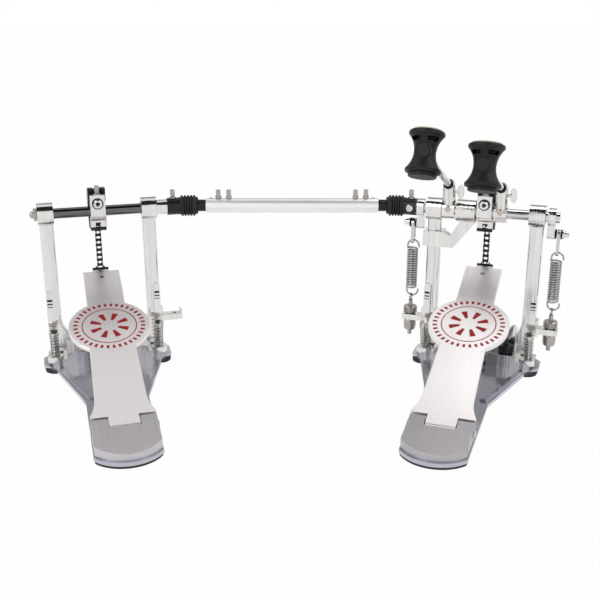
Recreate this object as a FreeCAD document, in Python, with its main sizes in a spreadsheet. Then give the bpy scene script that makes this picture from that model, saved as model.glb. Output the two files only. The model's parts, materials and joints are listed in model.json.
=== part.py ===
import FreeCAD, Part
import math
import os

import Sketcher
from FreeCAD import Placement, Rotation, Vector

doc = FreeCAD.newDocument("double_pedal")
d = doc.addObject("Spreadsheet::Sheet", "d")

# Driving dimensions, millimetres and degrees. Each pedal is drawn in its own frame: X along its
# axle, Y away from the player, Z up from the floor, with the axle over Y = 0.
SIZES = [
    # Stance: the pedals are turned towards each other, and the linkage runs along X
    ("main_yaw", 19.2), ("slave_yaw", 15.5), ("joint_offset", 9), ("joint_span", 252.6),
    ("joint_x", 119.5), ("joint_y", 144.7),
    # Axles and their bearings
    ("axle_height", 186.7), ("axle_diameter", 12), ("running_gap", 0.05), ("clear_gap", 0.3),
    ("bearing_span", 118), ("barrel_diameter", 26), ("barrel_length", 18), ("bush_diameter", 19),
    ("axle_gap", 1), ("axle_tip", 4.5), ("slave_axle_tip", 4), ("shoulder_diameter", 17),
    ("shoulder_length", 9.6), ("overcut", 1),
    # Base plate and rubber
    ("rubber_thickness", 3), ("plate_thickness", 4), ("heel_width", 68), ("heel_length", 55),
    ("heel_side", 36), ("waist_at", 134), ("flare_at", 33), ("flare_inset", 14),
    ("lobe_margin", 9), ("lobe_at", 14), ("lobe_corner", 14), ("plate_back", 22),
    ("rib_inset", 3), ("rib_width", 7), ("rib_height", 2.4), ("rubber_inset", 1),
    ("heel_pad_lead", 12), ("corner_pad_width", 26), ("corner_pad_reach", 15),
    # Upright frame
    ("post_width", 16), ("post_depth", 12), ("post_front", 2), ("post_round", 3), ("web_top", 33),
    ("flare_radius", 26), ("foot_height", 5), ("foot_inset", 6), ("foot_reach", 16),
    ("ledge_height", 15), ("ledge_gap", 13.8), ("ledge_reach", 24), ("rail_width", 8),
    ("rail_depth", 3), ("rail_top", 90), ("groove_width", 4),
    ("groove_depth", 1.6), ("groove_bottom", 62), ("groove_drop", 20.7),
    # Heel plate and hinge
    ("hinge_at", 226), ("hinge_height", 16.3), ("hinge_pin", 5), ("heel_plate_width", 66),
    ("heel_plate_lead", 7), ("heel_plate_side", 34), ("heel_plate_length", 52), ("knuckle_gap", 1),
    ("heel_plate_rise", 25.5), ("heel_plate_nose", 14.5), ("pin_head", 8), ("pin_head_height", 1.5),
    # Footboard
    ("main_pitch", 20.2), ("slave_pitch", 18.5), ("board_thickness", 5), ("knuckle_radius", 6.9),
    ("tongue_width", 30.6), ("ear_at", 12), ("ear_depth", 3), ("ear_width", 66), ("waist_width", 53),
    ("ear_run", 46), ("ear_radius", 64), ("neck_low", 50), ("neck_high", 43.2), ("disc_at", 157.8),
    ("disc_radius", 45), ("tip_ahead", 38.4), ("tip_width", 42.8), ("tab_width", 19),
    ("tab_length", 3.6), ("edge_round", 0.8),
    # Roller chain, quarter-inch pitch, and the clip that holds it to the footboard
    ("chain_pitch", 6.35), ("chain_depth", 5.4), ("inner_width", 3.2), ("link_plate", 0.8),
    ("link_waist", 0.7), ("roller_diameter", 3.3), ("clip_thickness", 1.6), ("clip_height", 7.5),
    ("clip_gap", 0.8), ("pin_ahead", 3.4), ("chain_end", 96),
    # Cam: clamp block, half-wheel sector with a groove for the chain
    ("cam_radius", 24), ("cam_width", 20), ("cam_flange", 3.5), ("collar_diameter", 23),
    ("block_width", 17), ("block_front", 16), ("block_back", 5.4), ("block_top", 22),
    ("block_bottom", 3), ("sector_start", -60), ("sector_end", 100), ("socket_screw", 10),
    ("socket_height", 4), ("socket_rise", 12), ("shoe_width", 18), ("shoe_depth", 4.2), ("shoe_top", 8),
    ("shoe_bottom", 19.5), ("shoe_notch", 6), ("shoe_notch_height", 5.5),
    # Beaters: hub with a tower, rod, waisted head with a felt face
    ("hub_gap", 0.2), ("hub_width", 14.6), ("hub_diameter", 22),
    ("tower_diameter", 15), ("tower_length", 32), ("tower_lean", 16.6), ("rod_diameter", 8),
    ("rod_reach", 160), ("rod_tail", 20), ("rod_tip", 6), ("left_rod_lean", 67),
    ("right_rod_lean", 70.5), ("head_length", 42), ("head_diameter", 36), ("head_waist", 22),
    ("head_rim", 3.5), ("head_chamfer", 1.5), ("head_boss", 17), ("boss_height", 12.8),
    ("back_pad", 28.8), ("pad_thickness", 4), ("felt_diameter", 30), ("felt_thickness", 1.6),
    ("head_web", 4.5), ("recess_at", 9.6), ("recess_height", 3), ("recess_width", 6.5),
    ("recess_floor", 8.5),
    ("wing_thickness", 2.4), ("wing_width", 8), ("wing_height", 17), ("wing_shank", 5),
    ("wing_standoff", 2),
    # Key screws: round collar with a square head
    ("key_square", 5.2), ("key_height", 7), ("key_collar", 7), ("key_collar_height", 3),
    ("key_shank", 4),
    # Extension springs with their levers, hangers and tensioners
    ("lever_gap", 3), ("lever_thickness", 8.5), ("lever_arm", 19), ("lever_hub", 21),
    ("lever_end", 13), ("pin_diameter", 5), ("pin_end", 13), ("spring_offset", 4.4),
    ("coil_diameter", 12), ("wire_diameter", 1.7), ("coil_pitch", 2.9),
    ("hanger_drop", 21.2), ("loop_height", 10.6), ("slot_play", 2.2), ("hanger_wall", 2.8),
    ("hanger_thickness", 3), ("bracket_at", 46), ("eye_rise", 30), ("bracket_height", 7),
    ("bracket_width", 13), ("bracket_reach", 9), ("bracket_plate", 3), ("bracket_grip", 20),
    ("eyebolt_diameter", 5), ("eye_outer", 11), ("eye_inner", 6.4), ("eye_thickness", 3.2),
    ("knurled_diameter", 15), ("knurled_height", 10), ("cup_diameter", 14), ("cup_height", 15),
    ("bolt_tail", 5.5), ("stop_thickness", 2.5), ("stop_rise", 4),
    # Spurs: pointed screws that lean towards the player, each under a small spring
    ("spur_inset", 14.2), ("spur_y", 11), ("spur_boss", 18), ("boss_rise", 4), ("spur_lean", 18.2),
    ("spur_diameter", 6), ("spur_length", 30), ("spur_head", 11), ("spur_head_height", 6.5),
    ("spur_point", 5), ("spur_drop", 10), ("spur_coil", 9), ("spur_wire", 1.3), ("spur_turns", 6),
    # Universal joints, boots and the telescoping linkage
    ("sleeve_gap", 1.5), ("sleeve_length", 14), ("sleeve_diameter", 20), ("yoke_diameter", 14),
    ("yoke_back", 7.6), ("prong_inner", 4.6), ("prong_outer", 6.8), ("prong_width", 7),
    ("prong_tip", 4), ("trunnion_diameter", 2.4), ("trunnion_play", 1.6), ("cross_size", 6),
    ("boot_diameter", 25), ("boot_valley", 20.4), ("boot_wall", 0.7), ("boot_ribs", 5),
    ("boot_cuff", 2), ("boot_reach", 13.5), ("tube_diameter", 17.5), ("tube_gap", 24), ("rod_inside", 80),
    ("key_first", 14.6), ("key_second", 27), ("set_screw_at", 6), ("set_screw_proud", 0.5),
    # Bearing arm between the beaters
    ("arm_gap", 1), ("arm_hub_gap", 2.1), ("arm_drop", 44.7), ("arm_height", 18),
    ("arm_collar_wall", 4), ("arm_thickness", 12), ("arm_elbow", 2),
    # Hoop clamp: rocker under the foot, fixed lip above, wing screw beside the footboard
    ("jaw_width", 28), ("jaw_thickness", 4), ("jaw_lift", 3), ("jaw_reach", 44), ("jaw_tail", 21),
    ("jaw_pad", 3), ("jaw_pad_length", 14), ("jaw_arm_end", 9), ("jaw_arm_depth", 15),
    ("pivot_at", 6), ("pivot_pin", 5), ("pivot_barrel", 8.4), ("channel_gap", 1),
    ("channel_height", 10), ("lip_height", 6), ("lip_gap", 9), ("clamp_inset", 12), ("clamp_y", 14),
    ("clamp_shank", 6), ("clamp_knob", 17), ("clamp_knob_height", 10), ("clamp_wing_height", 29),
    ("clamp_wing_width", 15),
]
for row, (alias, size) in enumerate(SIZES, 1):
    d.set(f"A{row}", alias)
    d.set(f"B{row}", str(size))
    d.setAlias(f"B{row}", alias)
doc.recompute()

# Directions that primitives are laid along, from their own Z
ALONG = {"X": Rotation(Vector(0, 1, 0), 90), "Y": Rotation(Vector(1, 0, 0), -90), "Z": Rotation()}
QUARTER_TURN = 90
# Places that follow from the sizes, in each pedal's own frame
PLATE_TOP = "(d.rubber_thickness + d.plate_thickness)"
HEEL_FRONT = "(d.hinge_at + d.heel_length)"
HEEL_CORNER = "(d.hinge_at + d.heel_side)"
BOARD_TIP = "(d.hinge_at + d.tip_ahead)"
POST_OUT = "(d.bearing_span / 2 + d.post_width / 2)"
POST_IN = "(d.bearing_span / 2 - d.post_width / 2)"
LOBE = f"({POST_OUT} + d.lobe_margin)"
SPUR_X = f"({LOBE} - d.spur_inset)"
LEDGE = f"({SPUR_X} - d.ledge_gap)"
CLAMP_X = f"({LEDGE} - d.clamp_inset)"
BARREL_END = "(d.bearing_span / 2 + d.barrel_length / 2)"
LEVER_IN = f"({BARREL_END} + d.lever_gap)"
SLEEVE_IN = f"({LEVER_IN} + d.lever_thickness + d.sleeve_gap)"
SLEEVE_OUT = f"({SLEEVE_IN} + d.sleeve_length)"
JOINT_REACH = f"({SLEEVE_OUT} + d.joint_offset)"
HUB_X = {"left": "(-d.bearing_span / 2 + d.barrel_length / 2 + d.clear_gap + d.hub_width / 2)",
         "right": "(d.cam_width / 2 + d.hub_gap + d.hub_width / 2)"}
ARM_LEFT = f"({HUB_X['left']} + d.hub_width / 2 + d.arm_hub_gap)"
ARM_RIGHT = "(-d.cam_width / 2 - d.arm_gap)"
ARM_BOTTOM = "(d.axle_height - d.arm_drop)"
NODES = []


def value(expression):
    return float(d.evalExpression(str(expression)))


def lean(degrees):
    return Rotation(Vector(1, 0, 0), degrees)


def at(solid, x, y, z, turn):
    solid.Placement = Placement(Vector(), turn)
    for axis, place in zip("xyz", (x, y, z)):
        solid.setExpression(f"Placement.Base.{axis}", str(place))
    return solid


def cylinder(diameter, length, x=0, y=0, z=0, turn=ALONG["Z"]):
    solid = doc.addObject("Part::Cylinder", "cylinder")
    solid.setExpression("Radius", f"({diameter}) / 2")
    solid.setExpression("Height", str(length))
    return at(solid, x, y, z, turn)


def sector(radius, length, sweep, x, z, start):
    solid = doc.addObject("Part::Cylinder", "sector")
    solid.setExpression("Radius", str(radius))
    solid.setExpression("Height", str(length))
    solid.setExpression("Angle", str(sweep))
    return at(solid, x, 0, z, ALONG["X"] * Rotation(Vector(0, 0, 1), start))


def cone(bottom, top, length, z):
    solid = doc.addObject("Part::Cone", "cone")
    solid.setExpression("Radius1", f"({bottom}) / 2")
    solid.setExpression("Radius2", f"({top}) / 2")
    solid.setExpression("Height", str(length))
    return at(solid, 0, 0, z, ALONG["Z"])


def dome(diameter, x, y, z, turn):
    solid = doc.addObject("Part::Sphere", "dome")
    solid.setExpression("Radius", f"({diameter}) / 2")
    solid.Angle1 = 0
    return at(solid, x, y, z, turn)


def octagon(across, height, x, y, z):
    solid = doc.addObject("Part::Prism", "octagon")
    solid.Polygon = 8
    solid.setExpression("Circumradius", f"({across}) / 2 / cos(22.5)")
    solid.setExpression("Height", str(height))
    return at(solid, x, y, z, Rotation(Vector(0, 0, 1), QUARTER_TURN / 4))


def box(length, width, height, x, y, z):
    solid = doc.addObject("Part::Box", "box")
    solid.setExpression("Length", str(length))
    solid.setExpression("Width", str(width))
    solid.setExpression("Height", str(height))
    return at(solid, x, y, z, ALONG["Z"])


def fuse(*solids):
    joined = doc.addObject("Part::MultiFuse", "fuse")
    joined.Shapes = list(solids)
    joined.Refine = not any(solid.TypeId == "Part::Sphere" for solid in solids)
    return joined


def cut(solid, *tools):
    result = doc.addObject("Part::Cut", "cut")
    result.Base = solid
    result.Tool = tools[0] if len(tools) == 1 else fuse(*tools)
    result.Refine = False
    return result


def shaped(name, shape):
    feature = doc.addObject("Part::Feature", name)
    feature.Shape = shape
    return feature


def node(name, pose, *solids):
    group = doc.addObject("Part::Compound", name)
    group.Label = name
    group.Links = list(solids)
    group.Placement = pose
    NODES.append(group)


def new_body(name):
    return doc.addObject("PartDesign::Body", name)


def mirrored(half, closing=()):
    """Closes a half outline over to the other side of its second axis."""
    left = []
    for i in range(len(half) - 1, -1, -1):
        arc = half[i - 1][2:] if i else closing
        left.append((f"-({half[i][0]})", half[i][1], *arc))
    return half + left


def arc_between(start, end, radius, turn):
    chord = end - start
    side = Vector(-chord.y, chord.x, 0).normalize()
    rise = math.sqrt(max(radius ** 2 - chord.Length ** 2 / 4, 0))
    centre = (start + end) * 0.5 + side * (rise * turn)
    first, last = (start, end) if turn > 0 else (end, start)
    angles = [math.atan2((p - centre).y, (p - centre).x) for p in (first, last)]
    return Part.ArcOfCircle(Part.Circle(centre, Vector(0, 0, 1), radius), *angles)


def outline(body, plane, points, lift="0"):
    """A closed sketch: each point is (x, y) for a line to the next, or (x, y, radius, turn)."""
    sketch = body.newObject("Sketcher::SketchObject", "outline")
    origin = [f for f in body.Origin.OriginFeatures if f.Role == plane][0]
    sketch.AttachmentSupport = [(origin, "")]
    sketch.MapMode = "FlatFace"
    sketch.setExpression("AttachmentOffset.Base.z", str(lift))
    corners = [Vector(value(p[0]), value(p[1]), 0) for p in points]
    count = len(points)
    for i, point in enumerate(points):
        start, end = corners[i], corners[(i + 1) % count]
        if len(point) == 2:
            sketch.addGeometry(Part.LineSegment(start, end))
        else:
            sketch.addGeometry(arc_between(start, end, value(point[2]), point[3]))
    ends = [(2, 1) if len(p) == 4 and p[3] < 0 else (1, 2) for p in points]
    for i in range(count):
        following = (i + 1) % count
        sketch.addConstraint(
            Sketcher.Constraint("Coincident", i, ends[i][1], following, ends[following][0]))
    for i, point in enumerate(points):
        for kind, place, size in zip(("DistanceX", "DistanceY"), point, corners[i]):
            index = sketch.addConstraint(Sketcher.Constraint(kind, -1, 1, i, ends[i][0], size))
            sketch.setExpression(f"Constraints[{index}]", str(place))
        if len(point) == 4:
            index = sketch.addConstraint(Sketcher.Constraint("Radius", i, value(point[2])))
            sketch.setExpression(f"Constraints[{index}]", point[2])
    return sketch


def pad(body, sketch, length, middle=False, back=False):
    feature = body.newObject("PartDesign::Pad", "pad")
    feature.Profile = sketch
    feature.setExpression("Length", str(length))
    feature.Midplane = middle
    feature.Reversed = back
    return feature


def pocket(body, sketch, length):
    feature = body.newObject("PartDesign::Pocket", "pocket")
    feature.Profile = sketch
    feature.setExpression("Length", str(length))
    feature.Midplane = True
    return feature


def round_edges(body, radius, wanted):
    doc.recompute()
    tip = body.Tip
    names = [f"Edge{i}" for i, edge in enumerate(tip.Shape.Edges, 1) if wanted(edge)]
    feature = body.newObject("PartDesign::Fillet", "round")
    feature.Base = (tip, names)
    feature.setExpression("Radius", radius)


# Poses: each pedal stands so that its universal joint lies on the linkage
def pedal_pose(side):
    turn = -d.main_yaw if side == "main" else d.slave_yaw
    reach = value(JOINT_REACH) if side == "main" else -value(JOINT_REACH)
    joint = d.joint_x if side == "main" else d.joint_x - d.joint_span
    yaw = Rotation(Vector(0, 0, 1), turn)
    return Placement(Vector(joint, d.joint_y, 0) + yaw.multVec(Vector(reach, 0, 0)), yaw)


POSE = {side: pedal_pose(side) for side in ("main", "slave")}
LINK = Placement(Vector(d.joint_x, d.joint_y, d.axle_height), Rotation())


def board_pose(side):
    pitch = d.main_pitch if side == "main" else d.slave_pitch
    return POSE[side] * Placement(Vector(0, -d.hinge_at, d.hinge_height), lean(pitch))


def spur_pose(sign):
    seat = Vector(sign * value(SPUR_X), -d.spur_y, value(f"{PLATE_TOP} + d.foot_height + d.boss_rise"))
    return Placement(seat, lean(d.spur_lean))


def spur_holes():
    tools = []
    for sign in (-1, 1):
        tool = cylinder("d.spur_diameter + 2 * d.clear_gap", "4 * d.spur_drop + 8 * d.foot_height")
        pose = spur_pose(sign)
        tool.Placement = pose * Placement(Vector(0, 0, -4 * d.spur_drop), Rotation())
        for axis in "xyz":
            tool.setExpression(f"Placement.Base.{axis}", None)
        tools.append(tool)
    return tools


# Base plate: a flat foot, narrow at the heel and flared to two lobes, ribbed along the flare
HEEL_ARC = ("(({half}) ^ 2 + ({front} - {corner}) ^ 2) / 2 / ({front} - {corner})")


def base_plate(side):
    body = new_body("base_outline")
    arc = HEEL_ARC.format(half="d.heel_width / 2", front=HEEL_FRONT, corner=HEEL_CORNER)
    half = [
        ("d.heel_width / 2", f"-{HEEL_CORNER}"), ("d.heel_width / 2", "-d.waist_at"),
        (f"{LOBE} - d.flare_inset", "-d.flare_at"), (LOBE, "-d.lobe_at"),
        (LOBE, "d.plate_back - d.lobe_corner"), (f"{LOBE} - d.lobe_corner", "d.plate_back")]
    plan = outline(body, "XY_Plane", mirrored(half, (arc, 1)), "d.rubber_thickness")
    pad(body, plan, "d.plate_thickness")
    for mirror in ("-1", "1"):
        near, far = "d.heel_width / 2 - d.rib_inset", f"{LOBE} - d.flare_inset - d.rib_inset"
        low, high = "-d.waist_at + d.rib_width", "-d.flare_at - d.rib_width"
        corners = [(near, low), (far, high), (f"{far} - d.rib_width", high),
                   (f"{near} - d.rib_width", low)]
        rib = [(f"{mirror} * ({x})", y) for x, y in corners]
        sketch = outline(body, "XY_Plane", rib, "d.rubber_thickness")
        pad(body, sketch, "d.plate_thickness + d.rib_height")
    node(f"{side}_base_plate", POSE[side], cut(body, *spur_holes()))


# Rubber: one pad under the heel and one under each lobe, pierced for the spurs
def rubber_feet(side):
    body = new_body("heel_rubber")
    arc = HEEL_ARC.format(half="(d.heel_width / 2 - d.rubber_inset)",
                          front=f"({HEEL_FRONT} - d.rubber_inset)", corner=HEEL_CORNER)
    half = [("d.heel_width / 2 - d.rubber_inset", f"-{HEEL_CORNER}"),
            ("d.heel_width / 2 - d.rubber_inset", "-d.hinge_at + d.heel_pad_lead")]
    pad(body, outline(body, "XY_Plane", mirrored(half, (arc, 1))), "d.rubber_thickness")
    pads = [body]
    outer = f"{LOBE} - d.rubber_inset"
    for low in (f"-({outer})", f"{outer} - d.corner_pad_width"):
        block = box("d.corner_pad_width", "2 * d.corner_pad_reach", "d.rubber_thickness",
                    low, "-d.corner_pad_reach", 0)
        pads.append(cut(block, *spur_holes()))
    node(f"{side}_rubber_feet", POSE[side], *pads)


# Upright frame: one casting with two posts, a low web, a foot flange and two bearing barrels
CHANNEL = "(d.jaw_width + 2 * d.channel_gap)"
LIP_BOTTOM = f"({PLATE_TOP} + d.jaw_lift + d.jaw_thickness + d.jaw_pad + d.lip_gap)"
PIVOT_HEIGHT = f"({PLATE_TOP} + d.jaw_lift + d.jaw_thickness / 2)"


def barrel(start, length):
    return cylinder("d.barrel_diameter", length, start, 0, "d.axle_height", ALONG["X"])


def upright_frame(side):
    body = new_body("lyre")
    half = [
        (POST_OUT, PLATE_TOP), (POST_OUT, "d.axle_height"), (POST_IN, "d.axle_height"),
        (POST_IN, "d.web_top + d.flare_radius", "d.flare_radius", -1),
        (f"{POST_IN} - d.flare_radius", "d.web_top")]
    pad(body, outline(body, "XZ_Plane", mirrored(half), "d.post_front"), "d.post_depth", back=True)
    bottom, top = value(PLATE_TOP), d.axle_height
    round_edges(body, "d.post_round", lambda e: e.BoundBox.YLength < 1e-4
                and bottom + 1e-4 < e.CenterOfMass.z < top - 1e-4)
    foot_half = f"({LOBE} - d.foot_inset)"
    foot = box(f"2 * {foot_half}", "2 * d.foot_reach", "d.foot_height", f"-{foot_half}", "-d.foot_reach",
               PLATE_TOP)
    ledge = box(f"2 * {LEDGE}", "d.ledge_reach", "d.ledge_height", f"-{LEDGE}", "-d.ledge_reach",
                PLATE_TOP)
    solids = [body, foot, ledge]
    tools = spur_holes()
    for mirror in ("-1", "1"):
        solids.append(barrel(f"{mirror} * d.bearing_span / 2 - d.barrel_length / 2", "d.barrel_length"))
        middle = f"{mirror} * (d.bearing_span / 2 + d.rail_width / 2)"
        face = "-d.post_front - d.rail_depth"
        depth = "d.rail_depth + d.post_round"
        solids.append(box("d.rail_width", depth, f"d.rail_top - {PLATE_TOP}",
                          f"{middle} - d.rail_width / 2", face, PLATE_TOP))
        solids.append(cylinder("d.rail_width", depth, middle, face, "d.rail_top", ALONG["Y"]))
        solids.append(octagon("d.spur_boss", "d.foot_height + d.boss_rise", f"{mirror} * {SPUR_X}",
                              "-d.spur_y", PLATE_TOP))
        tools.append(box("d.groove_width", "2 * d.groove_depth",
                         "d.axle_height - d.groove_drop - d.groove_bottom",
                         f"{mirror} * (d.bearing_span / 2 - d.rail_width / 2) - d.groove_width / 2",
                         "-d.post_front - d.groove_depth", "d.groove_bottom"))
    tools.append(cylinder("d.bush_diameter", "2 * d.bearing_span", "-d.bearing_span", 0,
                          "d.axle_height", ALONG["X"]))
    if side == "main":
        solids.append(box(CHANNEL, "d.jaw_reach", "d.lip_height", f"-{CHANNEL} / 2", 0, LIP_BOTTOM))
        deep = "(d.foot_reach + d.ledge_reach + 2 * d.overcut)"
        tools.append(box(CHANNEL, deep, "d.channel_height",
                         f"-{CHANNEL} / 2", "-d.ledge_reach - d.overcut", PLATE_TOP))
        tools.append(box(f"{CLAMP_X} + d.jaw_arm_end + d.channel_gap",
                         "d.jaw_arm_depth + 2 * d.channel_gap", "d.channel_height", 0,
                         "-d.jaw_tail - d.channel_gap", PLATE_TOP))
        tools.append(cylinder("d.pivot_pin", "2 * d.jaw_width", "-d.jaw_width", "d.pivot_at",
                              PIVOT_HEIGHT, ALONG["X"]))
        tools.append(cylinder("d.clamp_shank + 2 * d.running_gap", "2 * d.ledge_height",
                              CLAMP_X, "-d.clamp_y", PLATE_TOP))
    node(f"{side}_upright_frame", POSE[side], cut(fuse(*solids), *tools))


# Bearing bushes pressed into the barrels
def bush(start, length):
    outer = cylinder("d.bush_diameter", length, start, 0, "d.axle_height", ALONG["X"])
    inner = cylinder("d.axle_diameter + 2 * d.running_gap", f"{length} + 2 * d.overcut",
                     f"{start} - d.overcut", 0, "d.axle_height", ALONG["X"])
    return cut(outer, inner)


def bearings(side):
    bushes = [bush(f"{mirror} * d.bearing_span / 2 - d.barrel_length / 2", "d.barrel_length")
              for mirror in ("-1", "1")]
    if side == "main":
        bushes.append(bush(ARM_LEFT, f"({ARM_RIGHT} - {ARM_LEFT})"))
    node(f"{side}_bearings", POSE[side], *bushes)


# Heel plate: a wedge with a round nose, notched for the footboard's tongue
def heel_plate(side):
    body = new_body("wedge")
    front, corner = "(d.hinge_at + d.heel_plate_length)", "(d.hinge_at + d.heel_plate_side)"
    back = "(d.heel_plate_lead - d.hinge_at)"
    arc = HEEL_ARC.format(half="d.heel_plate_width / 2", front=front, corner=corner)
    half = [("d.heel_plate_width / 2", f"-{corner}"), ("d.heel_plate_width / 2", back)]
    plan = outline(body, "XY_Plane", mirrored(half, (arc, 1)), PLATE_TOP)
    pad(body, plan, f"d.heel_plate_rise - {PLATE_TOP}")
    top = "2 * d.heel_plate_rise"
    slope = [(f"-{front} - d.overcut", "d.heel_plate_nose"), (back, "d.heel_plate_rise"), (back, top),
             (f"-{front} - d.overcut", top)]
    pocket(body, outline(body, "YZ_Plane", slope), "2 * d.heel_plate_width")
    notch = "(d.tongue_width + 2 * d.knuckle_gap)"
    reach = "(d.knuckle_radius + d.knuckle_gap + d.heel_plate_lead)"
    gap = box(notch, f"2 * {reach}", "2 * d.heel_plate_rise", f"-{notch} / 2", f"{back} - {reach}", 0)
    bore = cylinder("d.hinge_pin", "2 * d.heel_plate_width", "-d.heel_plate_width", "-d.hinge_at",
                    "d.hinge_height", ALONG["X"])
    node(f"{side}_heel_plate", POSE[side], cut(body, gap, bore))


# Pins fixed in the frame: the footboard's hinge pin with its two heads, and the clamp's pivot
def frame_pins(side):
    half = "(d.heel_plate_width / 2 + d.pin_head_height)"
    pin = cylinder("d.hinge_pin", f"2 * {half}", f"-{half}", "-d.hinge_at", "d.hinge_height",
                   ALONG["X"])
    heads = [cylinder("d.pin_head", "d.pin_head_height", x, "-d.hinge_at", "d.hinge_height", ALONG["X"])
             for x in (f"-{half}", "d.heel_plate_width / 2")]
    pins = [fuse(pin, *heads)]
    if side == "main":
        length = "(d.jaw_width + 4 * d.pivot_pin)"
        pins.append(cylinder("d.pivot_pin", length, f"-{length} / 2", "d.pivot_at", PIVOT_HEIGHT,
                             ALONG["X"]))
    node(f"{side}_frame_pins", POSE[side], *pins)


# Footboard: flat plate with a round foot disc, drawn on its hinge axis
def footboard(side):
    body = new_body("board")
    bottom = "d.knuckle_radius - d.board_thickness"
    half = [
        ("d.tongue_width / 2", "0"), ("d.tongue_width / 2", "d.ear_at"),
        ("d.ear_width / 2", "d.ear_at"),
        ("d.ear_width / 2", "d.ear_at + d.ear_depth", "d.ear_radius", -1),
        ("d.waist_width / 2", "d.ear_run"),
        ("d.neck_low / 2", "d.disc_at - sqrt(d.disc_radius ^ 2 - (d.neck_low / 2) ^ 2)",
         "d.disc_radius", 1),
        ("d.neck_high / 2", "d.disc_at + sqrt(d.disc_radius ^ 2 - (d.neck_high / 2) ^ 2)"),
        ("d.tip_width / 2", BOARD_TIP), ("d.tab_width / 2", BOARD_TIP),
        ("d.tab_width / 2", f"{BOARD_TIP} + d.tab_length")]
    pad(body, outline(body, "XY_Plane", mirrored(half), bottom), "d.board_thickness")
    top = value("d.knuckle_radius")
    flat = value("d.ear_at") + value("d.board_thickness")
    round_edges(body, "d.edge_round", lambda e: abs(e.CenterOfMass.z - top) < 1e-4
                and abs(e.BoundBox.ZLength) < 1e-4 and e.CenterOfMass.y > flat)
    width = "d.tongue_width"
    knuckle = cylinder("2 * d.knuckle_radius", width, f"-{width} / 2", 0, 0, ALONG["X"])
    bore = cylinder("d.hinge_pin + 2 * d.running_gap", f"2 * {width}", f"-{width}", 0, 0, ALONG["X"])
    node(f"{side}_footboard", board_pose(side), cut(fuse(body, knuckle), bore))


# Roller chain: from the clip on the footboard straight up to the cam, then round it
def chain_path(side):
    """Chain pins in the plane of the pedal: the hanging ones and those that lie on the cam."""
    pitch = math.radians(d.main_pitch if side == "main" else d.slave_pitch)
    along = value(f"{BOARD_TIP} + d.tab_length + d.pin_ahead")
    rise = value("d.knuckle_radius - d.board_thickness / 2")
    foot = Vector(0, along * math.cos(pitch) - rise * math.sin(pitch) - d.hinge_at,
                  along * math.sin(pitch) + rise * math.cos(pitch) + d.hinge_height)
    axis = Vector(0, 0, d.axle_height)
    reach = (foot - axis).Length
    run = math.sqrt(reach ** 2 - d.cam_radius ** 2)
    touch = math.atan2((foot - axis).z, (foot - axis).y) + math.acos(d.cam_radius / reach)
    point = axis + Vector(0, math.cos(touch), math.sin(touch)) * d.cam_radius
    straight = int(run / d.chain_pitch)
    hanging = [foot + (point - foot) * (i * d.chain_pitch / run) for i in range(straight + 1)]
    wrapped = []
    angle = touch + ((straight + 1) * d.chain_pitch - run) / d.cam_radius
    while angle < math.radians(d.chain_end):
        wrapped.append(axis + Vector(0, math.cos(angle), math.sin(angle)) * d.cam_radius)
        angle += d.chain_pitch / d.cam_radius
    return hanging, [hanging[-1]] + wrapped


def link_plate(start, end, offset):
    """One waisted side plate between two pins, its inner face at the given distance from the middle."""
    depth = d.chain_depth / 2
    length = (end - start).Length
    slant = depth * math.sqrt(0.5)
    waist = depth * d.link_waist
    right = [(slant, -slant), (depth, 0), (waist, length / 2), (depth, length), (slant, length + slant)]
    corners = [(0, -depth)] + right + [(0, length + depth)] + [(-y, z) for y, z in reversed(right)]
    points = [Vector(offset, y, z) for y, z in corners]
    face = Part.Face(Part.makePolygon(points + points[:1]))
    plate = face.extrude(Vector(d.link_plate, 0, 0))
    way = end - start
    plate.Placement = Placement(start, lean(math.degrees(math.atan2(-way.y, way.z))))
    return plate


def link_pin(place, half):
    """An eight-sided roller and pin across the chain."""
    radius = d.roller_diameter / 2
    corners = [Vector(-half, radius * math.cos(a), radius * math.sin(a))
               for a in (math.radians(22.5 + 45 * i) for i in range(8))]
    face = Part.Face(Part.makePolygon(corners + corners[:1]))
    pin = face.extrude(Vector(2 * half, 0, 0))
    pin.Placement = Placement(place, Rotation())
    return pin


def chain_run(pins, outer_first, own_first_pin):
    """Joins the links of one run: inner and outer plates take turns."""
    inner = d.inner_width / 2
    outer = inner + d.link_plate + d.clear_gap
    solids = []
    for i, (start, end) in enumerate(zip(pins, pins[1:])):
        offset = outer if (i % 2 == 0) == outer_first else inner
        solids += [link_plate(start, end, offset), link_plate(start, end, -offset - d.link_plate)]
    half = outer + d.link_plate
    ends = pins if own_first_pin else pins[1:]
    return solids, ends, half, inner + d.link_plate


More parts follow.
